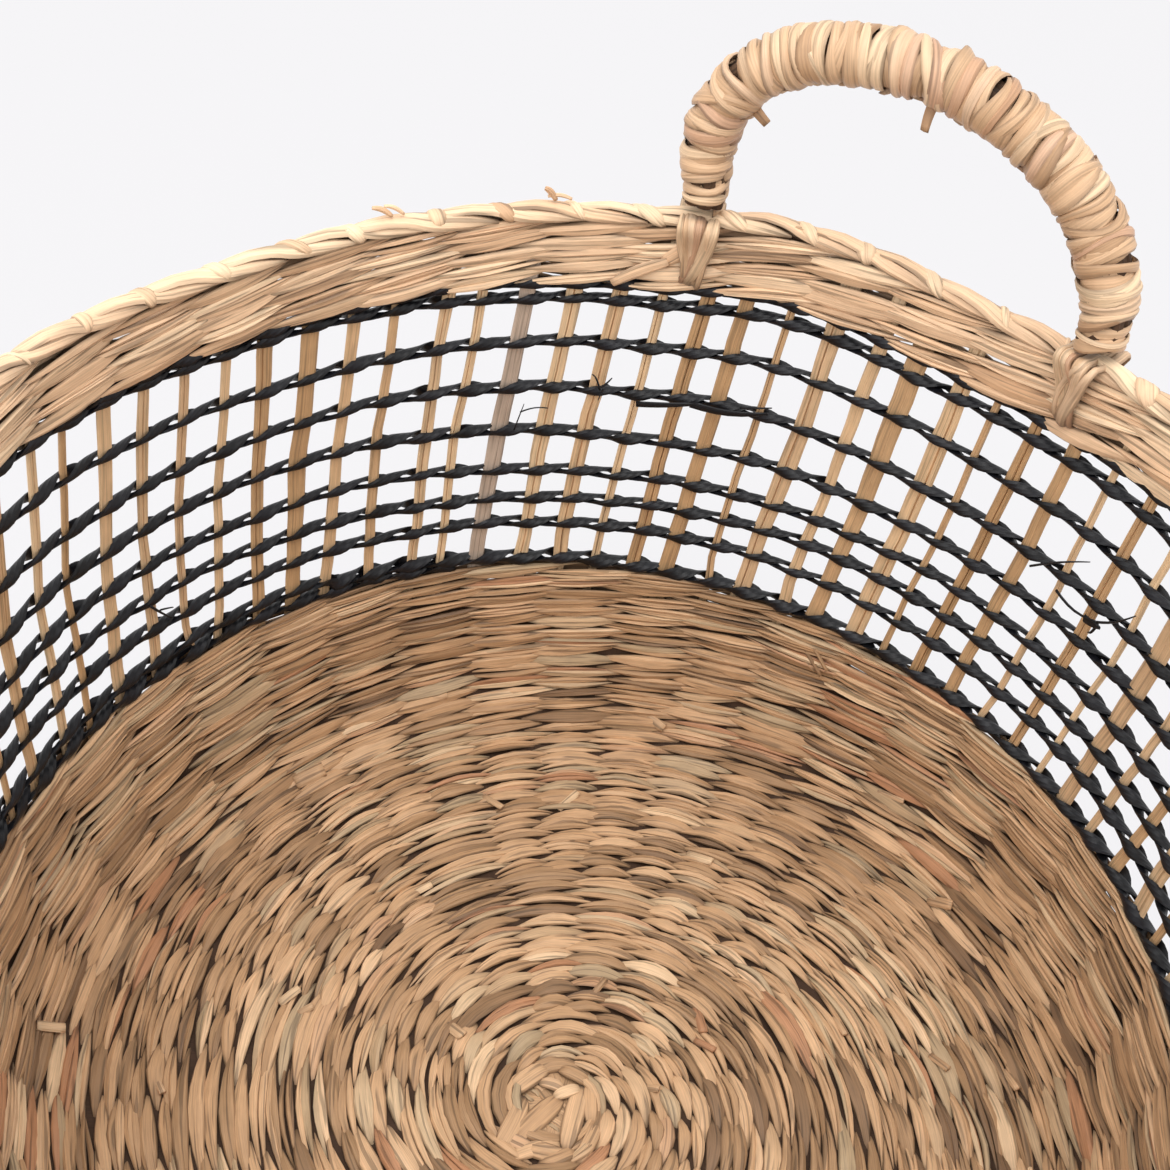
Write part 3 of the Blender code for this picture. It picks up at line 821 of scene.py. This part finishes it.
def make_stakes():
    heights = np.linspace(STAKE_BOTTOM, STAKE_TOP, STAKE_LEVELS)[None, :] * np.ones((STAKES, 1))
    sway = np.cumsum(rng.normal(0, 0.0011, heights.shape), axis=1)
    sway -= sway.mean(axis=1, keepdims=True)
    kink = rng.normal(0, 0.012, (STAKES, 1)) * (rng.uniform(size=(STAKES, 1)) < 0.25)
    bent = kink * np.clip((WALL_TOP + 12 * MM - heights) / (12 * MM), 0, 1)
    base = STAKE_FIRST + STAKE_STEP * np.arange(STAKES) + rng.normal(0, 0.005, STAKES)
    azimuth = base[:, None] + lean_at(heights) + sway + bent
    radius = stake_radius(heights) + rng.normal(0, 0.1 * MM, heights.shape)
    centre = np.stack([np.cos(azimuth) * radius, np.sin(azimuth) * radius, waved(azimuth, heights)], axis=-1)
    across = np.stack([-np.sin(azimuth), np.cos(azimuth), 0 * azimuth], axis=-1)
    inward = -np.stack([np.cos(azimuth), np.sin(azimuth), 0 * azimuth], axis=-1)
    widths = rng.choice(REED_HALF_WIDTHS_MM, STAKES, p=REED_SHARES) * MM
    spot = seen_on_wall(*GREY_STAKE, BELLY_RADIUS)
    grey = int(np.argmin(np.abs(azimuth[:, STAKE_LEVELS // 2] - math.atan2(spot.y, spot.x))))
    widths[grey] = 2.7 * MM
    half_width = widths[:, None] * (1 + 0.14 * np.array([slow_noise(STAKE_LEVELS, 4) for _ in range(STAKES)]))
    section = np.array(
        [(1, 0), (0.8, 0.85), (0.1, 1), (0, 0.8), (-0.1, 1), (-0.8, 0.85), (-1, 0), (-0.8, -0.85), (0.8, -0.85)]
    )
    section = np.repeat(section[None], STAKES, axis=0)
    section[:, 2:5, 0] += rng.uniform(-0.3, 0.3, (STAKES, 1))
    section[rng.uniform(size=STAKES) < 0.45, 3, 1] = -0.2
    tone = rng.uniform(0.12, 1, STAKES)
    tone[grey] = 0
    return lay_strips(
        "reed_stakes", centre, across, inward, half_width, REED_HALF_DEPTH, section, tone, 0.0, split_reed
    )


reed_stakes = make_stakes()

# %% [markdown]
# The black rows are one pair of dyed leaves that climbs round the lattice nine times. At a
# stake one leaf lies inside and the other outside, and in the gap after it they trade places.
# That is a helix round the row's own line, half a turn for each stake, and each leaf keeps its
# flat side turned away from that line. So the pair is made from one formula and its opposite.

# %% Black rows
ROW_TURNS = 9
ROW_START = math.radians(177)
ROW_LOW = WALL_TOP + 1.9 * MM
ROW_HIGH = BAND_BOTTOM - 1.2 * MM
ROW_TURN_SHARES = ((0, 0), (0.75, 0), (7.84, 0.95), (8.0, 0.985), (8.3, 1), (9, 1))
POINTS_PER_STAKE = 7
DYED_HALF_WIDTH = 1.8 * MM
DYED_HALF_DEPTH = 0.9 * MM
DYED_SIDE_STEP = 1.45 * MM
DYED_RISE = 0.62 * MM
ROW_SAG = 9 * MM
FIRST_ROW_DROP = 1.8 * MM
FIRST_ROW_TURNS = 0.92
FIRST_ROW_STEP = 0.5 * MM
ROW_LEAD = 0.12


def row_height(turn, azimuth):
    turns, shares = zip(*ROW_TURN_SHARES)
    share = np.interp(turn, turns, shares)
    drift = 0.9 * MM * np.sin(3 * azimuth + 1.3 * turn) * np.minimum(1, 6 * share * (1 - share))
    sag = ROW_SAG * np.sin(math.pi * share) ** 2 + FIRST_ROW_DROP * (turn < FIRST_ROW_TURNS)
    return waved(azimuth, ROW_LOW + (ROW_HIGH - ROW_LOW) * share + drift - sag)


def dyed_pair():
    count = round((ROW_TURNS + ROW_LEAD) * STAKES * POINTS_PER_STAKE) + 1
    turn = np.arange(count) / (STAKES * POINTS_PER_STAKE) - ROW_LEAD
    azimuth = ROW_START + 2 * math.pi * turn
    height = row_height(turn, azimuth)
    phase = math.pi * (azimuth - lean_at(height) - STAKE_FIRST) / STAKE_STEP
    out = np.stack([np.cos(azimuth), np.sin(azimuth), 0 * azimuth], axis=-1)
    up = np.array([0.0, 0.0, 1.0])
    height = height + 0.5 * MM * slow_noise(count, POINTS_PER_STAKE)
    centres, faces = [], []
    for sign in (1, -1):
        wobble = 0.22 * MM * slow_noise(count, 11)
        offset = sign * (DYED_SIDE_STEP + FIRST_ROW_STEP * (turn < FIRST_ROW_TURNS)) * np.cos(phase)
        lifted = height + sign * DYED_RISE * np.sin(phase) + wobble
        centres.append(out * (stake_radius(height) + offset)[:, None] + up * lifted[:, None])
        rolled = phase + 0.35 * slow_noise(count, 9)
        faces.append(sign * (out * np.cos(rolled)[:, None] + up * np.sin(rolled)[:, None]))
    centre = np.array(centres)
    along = unit(np.gradient(centre, axis=1))
    across = unit(np.cross(np.array(faces), along))
    facing = np.cross(along, across)
    swell = 1 + 0.2 * np.array([slow_noise(count, 13), slow_noise(count, 13)]) + 0.2 * (turn < FIRST_ROW_TURNS)
    tone = np.array([0.35, 0.8])
    # Painted shade between the stakes, where the two strands cross over each other.
    shade = 0.3 * np.abs(np.sin(phase))
    return lay_strips(
        "black_rows", centre, across, facing, DYED_HALF_WIDTH * swell, DYED_HALF_DEPTH, FLAT_SECTION, tone, shade, dyed_grass
    )


black_rows = dyed_pair()

# %% [markdown]
# A dyed leaf that runs out leaves a wisp on the lattice, and now and then a thread crosses an
# opening. These too are placed where the photograph shows them, on the inner side of the wall.

# %% Loose black ends
LATTICE_INSIDE = 168.6 * MM
WISPS = (
    (598, 388, 612, 378, 0.9),
    (600, 390, 592, 374, 0.7),
    (604, 388, 598, 400, 0.7),
    (514, 430, 524, 404, 0.5),
    (520, 412, 548, 408, 0.5),
    (636, 404, 700, 404, 2.4),
    (690, 404, 768, 414, 2.8),
    (740, 408, 772, 408, 0.9),
    (1084, 618, 1100, 628, 3.0),
    (1096, 622, 1136, 616, 0.9),
    (1098, 624, 1088, 632, 1.0),
    (1056, 590, 1098, 622, 1.2),
    (150, 606, 172, 618, 0.9),
    (160, 610, 173, 607, 0.7),
    (166, 662, 192, 646, 4.0),
    (640, 576, 668, 600, 0.8),
    (1030, 566, 1090, 562, 0.8),
)


def wisps():
    ends = np.array([[seen_on_wall(x0, y0, LATTICE_INSIDE), seen_on_wall(x1, y1, LATTICE_INSIDE)] for x0, y0, x1, y1, _ in WISPS])
    u = np.linspace(0, 1, 7)[None, :, None]
    bow = rng.normal(0, 0.9 * MM, (len(ends), 1, 1)) * np.sin(math.pi * u)
    centre = ends[:, :1] * (1 - u) + ends[:, 1:] * u + bow * np.array([0, 0, 1])
    inward = unit(-centre * np.array([1, 1, 0]))
    direction = unit(np.gradient(centre, axis=1))
    across = unit(np.cross(inward, direction))
    width = np.array([row[4] for row in WISPS])[:, None] / 2 * MM * (1 - 0.6 * u[..., 0] ** 2)
    return lay_strips(
        "black_wisps", centre, across, np.cross(direction, across), width, 0.35 * MM, FLAT_SECTION, np.full(len(ends), 0.5), 0.0, dyed_grass
    )


black_wisps = wisps()

# %% [markdown]
# Above the lattice the same twining returns as a dense band, with long stitches of two or three
# blades. It lies on both faces of the stakes' ends and needs no sheet inside, so a few specks
# of light come through it.

# %% Rim band
BAND_PITCH = 4.3 * MM


def band_rows():
    shift = lean_at(BAND_TOP) - lean_at(CORNER_TOP)
    columns = [(middle + shift, width) for middle, width in columns_at(CORNER_RADIUS)]
    return [
        (distance, columns, (1, 1, 2, 2, 3), 0.86, 0.55)
        for distance in np.arange(2.3 * MM, BAND[0][-1] + 1 * MM, BAND_PITCH)
    ]


for face, side in (("inner", 1), ("outer", -1)):
    twine(f"band_weave_{face}", BAND, side, band_rows(), 9, 0 * MM, 2.1 * MM, 1.05 * MM, rim_grass)

# %% [markdown]
# The border is braided from pale leaves. Each leaf comes out from under a collar, lies on top
# up to the next collar, dives under it and ends on the inner side, so one sees smooth pale
# lengths with a knuckle at every thumb's width. A few thinner leaves fill the outer side.

# %% Border
BORDER_RADIUS = 3.0 * MM
KNUCKLES = 50
KNUCKLE_HALF_WIDTH = 2.6 * MM
knuckle_azimuths = 2 * math.pi * (np.arange(KNUCKLES) + rng.uniform(-0.16, 0.16, KNUCKLES)) / KNUCKLES


def around_border(azimuth, roll, radius):
    """A point on the border's skin. Roll is 0 at its top and grows towards the outside."""
    out = RIM_RADIUS + radius * np.sin(roll)
    height = waved(azimuth, BORDER_MIDDLE) + radius * np.cos(roll)
    return np.stack([np.cos(azimuth) * out, np.sin(azimuth) * out, height], axis=-1)


# Each border piece gets painted shade at the ends that go under a collar or its neighbours, and along its edges.
def border_strips(name, azimuth, roll, radius, half_width, half_depth, tone, shade):
    centre = around_border(azimuth, roll, radius)
    facing = unit(centre - around_border(azimuth, roll, 0 * radius))
    along = unit(np.gradient(centre, axis=1))
    across = unit(np.cross(facing, along))
    return lay_strips(name, centre, across, facing, half_width, half_depth, FLAT_SECTION, tone, shade, rim_grass, 0.5)


def border_leaves():
    u = np.linspace(0, 1, 17)[None, :]
    start = knuckle_azimuths[:, None]
    azimuth = start - 2.05 * u * 2 * math.pi / KNUCKLES
    over = np.interp(u, [0, 0.08, 0.25, 0.42, 0.52, 1], [-0.9, 0.0, 0.75, 0.35, -0.2, -0.6])
    roll = np.radians(np.interp(u, [0, 0.1, 0.4, 0.6, 1], [30, 6, -12, -48, -78])) + rng.normal(0, 0.08, start.shape)
    radius = BORDER_RADIUS + over * MM
    half_width = 2.5 * MM * rng.normal(1, 0.08, start.shape) * np.interp(u, [0, 0.06, 0.5, 0.8, 1], [0.5, 1, 1, 0.8, 0.2])
    return border_strips(
        "border_leaves", azimuth, roll, radius, half_width, 1.15 * MM, rng.uniform(0.4, 0.95, KNUCKLES), 0.6 * u**6
    )


def border_fill():
    lanes = np.radians(np.repeat([20, 62, 104, 150], 24))
    starts = np.tile(np.arange(24), 4) + rng.uniform(-0.3, 0.3, len(lanes))
    u = np.linspace(-1, 1, 15)[None, :]
    azimuth = 2 * math.pi * (starts[:, None] + 0.66 * u) / 24
    roll = lanes[:, None] + 0.25 * u * rng.normal(0.8, 0.5, (len(lanes), 1))
    radius = BORDER_RADIUS * 0.93 - 0.9 * MM * np.abs(u) ** 4 + 0 * azimuth
    half_width = 2.2 * MM * rng.normal(1, 0.12, (len(lanes), 1)) * (0.25 + 0.75 * (1 - np.abs(u) ** 4))
    return border_strips(
        "border_fill", azimuth, roll, radius, half_width, 0.95 * MM, rng.uniform(0.05, 0.9, len(lanes)), 0.5 * np.abs(u) ** 6
    )


def border_collars():
    u = np.linspace(-1, 1, 15)[None, :]
    azimuth = knuckle_azimuths[:, None] - 0.003 + u * 0.02 * rng.normal(1, 0.5, (KNUCKLES, 1))
    roll = np.radians(75) * u - np.radians(8)
    radius = BORDER_RADIUS + 0.75 * MM - 1.4 * MM * np.abs(u) ** 3 + 0 * azimuth
    half_width = KNUCKLE_HALF_WIDTH * rng.normal(1, 0.25, (KNUCKLES, 1)) * (1 - 0.6 * u**2)
    tone = rng.uniform(0.45, 1, KNUCKLES)
    return border_strips("border_collars", azimuth, roll + 0 * azimuth, radius, half_width, 0.85 * MM, tone, 0.6 * np.abs(u) ** 6)


border = [border_leaves(), border_fill(), border_collars()]

# %% [markdown]
# A few leaf ends stick out of the border, and at the left foot one broad grey leaf crosses the
# band before it goes up under the handle.

# %% Leaf ends at the rim
RIM_ENDS = (
    (372, 208, 392, 216, 1.8, 0.3, 171.5),
    (384, 206, 404, 214, 1.4, 0.5, 171.5),
    (545, 188, 556, 200, 2.0, 1.0, 171.5),
    (548, 196, 572, 199, 1.4, 0.9, 171.5),
    (664, 262, 708, 244, 5.4, 0.35, 168.2),
    (612, 283, 668, 262, 4.2, 0.45, 168.4),
)


def rim_ends():
    ends = np.array(
        [
            [seen_on_wall(x0, y0, radius * MM), seen_on_wall(x1, y1, (radius - 0.8) * MM)]
            for x0, y0, x1, y1, _, _, radius in RIM_ENDS
        ]
    )
    u = np.linspace(0, 1, 9)[None, :, None]
    centre = ends[:, :1] * (1 - u) + ends[:, 1:] * u + 0.8 * MM * np.sin(math.pi * u) * np.array([0, 0, 1])
    inward = unit(-centre * np.array([1, 1, 0]))
    direction = unit(np.gradient(centre, axis=1))
    across = unit(np.cross(inward, direction))
    width = np.array([row[4] for row in RIM_ENDS])[:, None] / 2 * MM * (1 - 0.35 * (2 * u[..., 0] - 1) ** 2)
    tone = np.array([row[5] for row in RIM_ENDS])
    return lay_strips("rim_ends", centre, across, np.cross(direction, across), width, 0.6 * MM, FLAT_SECTION, tone, 0.0, rim_grass)


rim_end_strips = rim_ends()

# %% [markdown]
# A handle is a bundle of stems bent into an arch and wound with wide pale leaves. Every turn of the winding has a
# width, slant and twist of its own, and crosses the turns beside it. On the outside of the bend the turns part here
# and there, and the stems show through, their dark brown partly painted shade. The arch, its feet and its hinge line
# come from the frame.

# %% Handles
hinges = {joint["child"]: Vector(joint["pos_m"]) for joint in frame["joints"]}
HANDLE_HALF_SPAN = 59.36 * MM
HANDLE_RISE = 48.8 * MM
HANDLE_BULGE = 2.3 * MM
HANDLE_SWAY = 11 * MM
HANDLE_LEANS = {"handle_a": math.radians(10), "handle_b": math.radians(50)}
# The under layer's low tones are painted shade for the gaps where it shows between the turns above it.
LAYERS = {
    "under": (34, 6.7, (3.0, 3.8), (0.05, 0.4), 0.6),
    "over": (56, 7.6, (1.4, 2.4), (0.2, 1.0), 1.8),
}
WRAP_POINTS = 25
FOOT_REACH = 7.4 * MM
FOOT_RADIUS = 8.7 * MM
WRAP_SECTION = np.array([(1, 0), (0.72, 0.62), (0.15, 1), (-0.7, 0.7), (-1, 0), (0, -0.5)])
STEMS = 7


def arch(length_share):
    """Centre line of the handle, its direction and its outward normal, feet below the hinge."""
    table = np.linspace(0, math.pi, 400)
    x = HANDLE_HALF_SPAN * np.cos(table) + HANDLE_BULGE * np.sin(2 * table)
    x = x - HANDLE_SWAY * np.sin(table)
    z = HANDLE_RISE * np.sin(table)
    x = np.concatenate([[x[0]], x, [x[-1]]])
    z = np.concatenate([[-FOOT_REACH], z, [-FOOT_REACH]])
    length = np.concatenate([[0], np.cumsum(np.hypot(np.diff(x), np.diff(z)))])
    at = length_share * length[-1]
    line = np.stack([np.interp(at, length, x), 0 * at, np.interp(at, length, z)], axis=-1)
    ahead = np.stack([np.interp(at + 2 * MM, length, x), 0 * at, np.interp(at + 2 * MM, length, z)], axis=-1)
    behind = np.stack([np.interp(at - 2 * MM, length, x), 0 * at, np.interp(at - 2 * MM, length, z)], axis=-1)
    along = unit(ahead - behind)
    return line, along, np.stack([along[..., 2], 0 * at, -along[..., 0]], axis=-1), length[-1]


def placed(body, turned, *arrays):
    """Turns points or directions from the arch's own frame to the handle's lean and side."""
    spun = Matrix.Rotation(turned, 3, "Z") @ Matrix.Rotation(-HANDLE_LEANS[body], 3, "X")
    return [array @ np.array(spun).T for array in arrays]


def wound_handle(body, turned, layer):
    turns, radius, widths, tones, wander = LAYERS[layer]
    spin = np.linspace(-1.12, 1.12, WRAP_POINTS)[None, :] * math.pi
    _, _, _, total = arch(np.zeros(1))
    middle = (np.arange(turns) + 0.5 + rng.uniform(-0.25, 0.25, turns)) / turns
    middle = 0.012 + 0.976 * middle[:, None]
    free = np.clip(np.minimum(middle, 1 - middle) / 0.1, 0.15, 1)
    slant = rng.normal(0, wander * MM, (turns, 1)) * free
    phase = rng.uniform(-1.2, 1.2, (turns, 1))
    helix = total / turns * spin / (2 * math.pi)
    slip = helix + slant * np.sin(spin + phase) + rng.normal(0, 0.5 * MM, (turns, 1)) * np.sin(2 * spin)
    share = np.clip(middle + slip / total, 0.002, 0.998)
    line, along, outward, _ = arch(share)
    side = np.array([0.0, 1.0, 0.0])
    away = outward * np.cos(spin)[..., None] + side * np.sin(spin)[..., None]
    swell = (radius + rng.uniform(-0.35, 0.35, (turns, 1)) + 0.3 * np.sin(spin + 5 * phase)) * MM
    foot = np.clip((14 * MM - line[..., 2]) / (16 * MM), 0, 1)
    swell = swell * (1 - 0.2 * foot) - 1.0 * MM * np.abs(spin / math.pi / 1.12) ** 6
    below = np.minimum(line[..., 2], 0)
    swell = np.minimum(swell, np.sqrt(FOOT_RADIUS**2 - below**2) - 1.1 * MM)
    centre = line + away * swell[..., None]
    direction = unit(np.gradient(centre, axis=1))
    across = unit(np.cross(away, direction))
    facing = np.cross(direction, across)
    tip = rng.normal(0.1, 0.2, (turns, 1, 1)) + 0.25 * np.sin(spin + 3 * phase)[..., None]
    tipped = across * np.cos(tip) + facing * np.sin(tip)
    facing = facing * np.cos(tip) - across * np.sin(tip)
    half_width = rng.uniform(*widths, (turns, 1)) * MM * (1 + 0.28 * np.sin(1.5 * spin + 7 * phase))
    half_width = half_width * (1 + 0.35 * below / FOOT_REACH)
    half_depth = rng.uniform(0.75, 1.15, (turns, 1)) * MM
    # Painted shade on the ends of each turn, on the underside of the arch.
    shade = 0.5 * np.abs(spin / math.pi / 1.12) ** 8
    tone = rng.uniform(*tones, turns)
    centre, tipped, facing = placed(body, turned, centre, tipped, facing)
    centre = centre + np.array(hinges[body])
    return lay_strips(
        f"{body}_{layer}_winding",
        centre,
        tipped,
        facing,
        half_width,
        half_depth,
        WRAP_SECTION,
        tone,
        shade,
        handle_grass,
        0.6,
    )


def handle_stems(body, turned):
    share = np.linspace(0.01, 0.99, 60)[None, :] * np.ones((STEMS, 1))
    line, along, outward, _ = arch(share)
    spin = 2 * math.pi * np.arange(STEMS)[:, None] / STEMS + 2.5 * share
    away = outward * np.cos(spin)[..., None] + np.array([0.0, 1.0, 0.0]) * np.sin(spin)[..., None]
    centre = line + away * 4.2 * MM
    across = unit(np.cross(away, along))
    centre, across, away = placed(body, turned, centre, across, away)
    return lay_strips(
        f"{body}_stems", centre + np.array(hinges[body]), across, away, 2.5 * MM, 2.2 * MM, FLAT_SECTION, rng.uniform(0, 1, STEMS), 0.0, shaded_stem
    )


windings, stems = {}, {}
for body, turned in (("handle_a", 0.0), ("handle_b", math.pi)):
    windings[body] = [wound_handle(body, turned, layer) for layer in LAYERS]
    stems[body] = handle_stems(body, turned)

# %% [markdown]
# Two leaf ends stick out of the inside of the handle, where a new leaf was laid in.

# %% Stubs on the handle
STUBS = ((0.475, 0.35, 3.2, 5.0), (0.8, 0.1, 3.6, 4.0))


def handle_stubs():
    listed = np.array(STUBS)
    u = np.linspace(0, 1, 6)[None, :]
    share = listed[:, :1] + 0 * u
    line, along, outward, _ = arch(share)
    side = np.array([0.0, 1.0, 0.0])
    away = unit(-outward - side * listed[:, 1, None, None])
    centre = line + away * (6 * MM + (3 * MM + listed[:, 3, None] * MM) * u)[..., None] - along * (listed[:, 1, None] * 3 * MM * u**2)[..., None]
    centre, along, facing = placed("handle_a", 0.0, centre, along, np.broadcast_to(side, centre.shape))
    width = listed[:, 2, None] / 2 * MM * (1 - 0.25 * u)
    return lay_strips(
        "handle_stubs", centre + np.array(hinges["handle_a"]), along, facing, width, 0.7 * MM, FLAT_SECTION, np.array([0.02, 0.05]), 0.0, handle_grass
    )


stubs = handle_stubs()

# %% [markdown]
# Under each foot a few leaves are sewn down through the band and up again on the other face.
# They fan out below the foot and meet in one hole near the band's lower edge, darkened with painted shade towards it.

# %% Lashings
LASHING_STRANDS = 7
LOOP_PROFILE = np.array(
    [
        (0.3, -10.2),
        (-3.8, -10.0),
        (-6.8, -9.2),
        (-8.2, -10.6),
        (-7.9, -12.8),
        (-6.9, -15.4),
        (-5.7, -18.5),
        (-5.1, -22.0),
        (-4.7, -27.0),
        (-3.0, -31.0),
        (0.0, -32.0),
    ]
)


def lashing(name, foot):
    """Loops round the rim in the plane that holds the basket's axis and the foot."""
    azimuth = math.atan2(foot[1], foot[0])
    hinge_height = hinges["handle_a"].z
    u = np.linspace(-1, 1, 45)
    profile = np.concatenate([LOOP_PROFILE, (LOOP_PROFILE * (-1, 1))[-2::-1]])
    at = np.linspace(-1, 1, len(profile))
    out = np.interp(u, at, profile[:, 0]) * MM
    up = np.interp(u, at, profile[:, 1]) * MM
    lanes = np.linspace(-1, 1, LASHING_STRANDS)[:, None]
    drop = np.clip((-up - 10 * MM) / (21 * MM), 0, 1)
    top = 5.6 * lanes + rng.normal(0, 1.0, lanes.shape)
    low = 2.4 * rng.permutation(lanes) + 1.0
    along_rim = (top * (1 - drop) + low * drop + rng.normal(0, 1.1, lanes.shape) * np.sin(math.pi * drop)) * MM
    outs = out[None] * (1 + 0.04 * np.abs(rng.normal(size=lanes.shape))) - 0.5 * MM * np.sin(math.pi * drop) * np.sign(u) * lanes
    heights = hinge_height + up * (1 + 0.04 * np.abs(rng.normal(size=lanes.shape))) + 0 * along_rim
    rad = np.array([math.cos(azimuth), math.sin(azimuth), 0])
    tan = np.array([-math.sin(azimuth), math.cos(azimuth), 0])
    centre = rad * (RIM_RADIUS + outs)[..., None] + tan * along_rim[..., None]
    centre = centre + np.array([0, 0, 1]) * heights[..., None]
    direction = unit(np.gradient(centre, axis=1))
    across = unit(tan - direction * (direction @ tan)[..., None])
    facing = np.cross(direction, across)
    middle = np.array([0, 0, 1.0]) * (hinge_height - 15 * MM) + rad * RIM_RADIUS
    facing = facing * np.sign(((centre - middle) * facing).sum(-1).mean())
    half_width = 1.45 * MM * rng.normal(1, 0.2, lanes.shape) * (1 + 0.25 * np.sin(5 * u + 3 * lanes))
    tone = rng.choice([0.35, 0.5, 0.65, 0.8, 0.95], len(lanes))
    # Painted shade towards the hole in the band, where the leaves go in.
    shade = 0.5 * drop**6
    return lay_strips(name, centre, across, facing, half_width, 1.0 * MM, FLAT_SECTION, tone, shade, handle_grass, 0.7)


for label in ("a1", "a2", "b1", "b2"):
    low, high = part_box(f"lashing_{label}")
    lashing(f"lashing_leaves_{label}", (low + high) / 2)

# %% [markdown]
# Every piece rides on a body of the frame and hides the plain solids that it stands for. The table also lists a slot
# for each piece's finish, which nothing here uses.

# %% Bodies, nodes and slots
all_warps = [name for name in frame["nodes"] if name.startswith("warp_")]
bowl = ["floor_disc", "upsett", "lower_wall"]
stands_for = {
    "floor_weave_inner": ("seagrass_weave", ["floor_disc"]),
    "floor_weave_outer": ("seagrass_weave", ["floor_disc"]),
    "floor_crossing": ("seagrass_weave", ["floor_disc"]),
    "wall_weave_inner": ("seagrass_weave", ["upsett", "lower_wall"]),
    "wall_weave_outer": ("seagrass_weave", ["upsett", "lower_wall"]),
    "bowl_warps": ("seagrass_weave", bowl),
    "cut_ends": ("seagrass_weave", bowl),
    "reed_stakes": ("warp_stem", all_warps),
    "black_rows": ("black_strand", ["black_strand_inner", "black_strand_outer"]),
    "black_wisps": ("black_strand", ["black_strand_inner"]),
    "band_weave_inner": ("seagrass_weave", ["rim_band"]),
    "band_weave_outer": ("seagrass_weave", ["rim_band"]),
    "border_leaves": ("seagrass_weave", ["rim_border"]),
    "border_fill": ("seagrass_weave", ["rim_border"]),
    "border_collars": ("seagrass_weave", ["rim_border"]),
    "rim_ends": ("seagrass_weave", ["rim_band"]),
}
for label in ("a1", "a2", "b1", "b2"):
    stands_for[f"lashing_leaves_{label}"] = ("handle_leaf", [f"lashing_{label}"])
rides_on = {name: "root" for name in stands_for}
for body in windings:
    for layer in LAYERS:
        stands_for[f"{body}_{layer}_winding"] = ("handle_leaf", [f"{body}_wrap"])
        rides_on[f"{body}_{layer}_winding"] = body
    stands_for[f"{body}_stems"] = ("handle_core", [f"{body}_core"])
    rides_on[f"{body}_stems"] = body
stands_for["handle_stubs"] = ("handle_leaf", ["handle_a_wrap"])
rides_on["handle_stubs"] = "handle_a"
for name, (slot, nodes) in stands_for.items():
    piece = bpy.data.objects[name]
    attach(piece, rides_on[name])
    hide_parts(*nodes)

# %% [markdown]
# The stage is a white floor. What the camera sees of it directly is brightened to the
# photograph's white, while the light on the basket stays at a plain level.

# %% Floor
WHITE = "#f8f7f9"


def make_floor():
    mesh = bpy.data.meshes.new("studio_floor")
    half = 4.0
    mesh.from_pydata([(-half, -half, 0), (half, -half, 0), (half, half, 0), (-half, half, 0)], [], [(0, 1, 2, 3)])
    floor = bpy.data.objects.new("studio_floor", mesh)
    bpy.context.scene.collection.objects.link(floor)
    floor.location.z = -0.2 * MM
    material = bpy.data.materials.new("white_paper")
    material.use_nodes = True
    tree = material.node_tree
    shader = tree.nodes["Principled BSDF"]
    shader.inputs["Base Color"].default_value = linear("#d9d8da")
    shader.inputs["Roughness"].default_value = 0.9
    glow = add_node(tree, "ShaderNodeEmission", in_Color=linear(WHITE), in_Strength=0.97)
    path = add_node(tree, "ShaderNodeLightPath")
    share = add_node(tree, "ShaderNodeMath", [(0, path.outputs["Is Camera Ray"])], operation="MULTIPLY", in_1=0.9)
    mix = add_node(
        tree,
        "ShaderNodeMixShader",
        [(0, share.outputs[0]), (1, shader.outputs[0]), (2, glow.outputs[0])],
    )
    tree.links.new(mix.outputs[0], tree.nodes["Material Output"].inputs["Surface"])
    mesh.materials.append(material)
    floor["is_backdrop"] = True


def make_world():
    world = bpy.data.worlds.new("studio")
    bpy.context.scene.world = world
    world.use_nodes = True
    tree = world.node_tree
    background = tree.nodes["Background"]
    background.inputs[0].default_value = linear("#ffffff")
    background.inputs[1].default_value = 1.05
    seen = add_node(tree, "ShaderNodeBackground", in_0=linear(WHITE), in_1=1.0)
    path = add_node(tree, "ShaderNodeLightPath")
    mix = add_node(
        tree,
        "ShaderNodeMixShader",
        [(0, path.outputs["Is Camera Ray"]), (1, background.outputs[0]), (2, seen.outputs[0])],
    )
    tree.links.new(mix.outputs[0], tree.nodes["World Output"].inputs["Surface"])


def make_light(name, place, size, power):
    light = bpy.data.lights.new(name, "AREA")
    light.size = size
    light.energy = power
    lamp = bpy.data.objects.new(name, light)
    bpy.context.scene.collection.objects.link(lamp)
    lamp.location = place
    lamp.rotation_euler = (Vector((0, 0, 0.1)) - Vector(place)).to_track_quat("-Z", "Y").to_euler()


make_floor()
make_world()
make_light("window", (0.1, -0.35, 1.8), 1.3, 21)
make_light("fill", (-0.3, -1.4, 0.9), 1.0, 5)
bpy.context.scene.view_settings.view_transform = "Standard"

# %% Sizes and the end
low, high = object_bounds()
print("visual box in mm:", [round(value / MM, 1) for value in (*low, *high)])
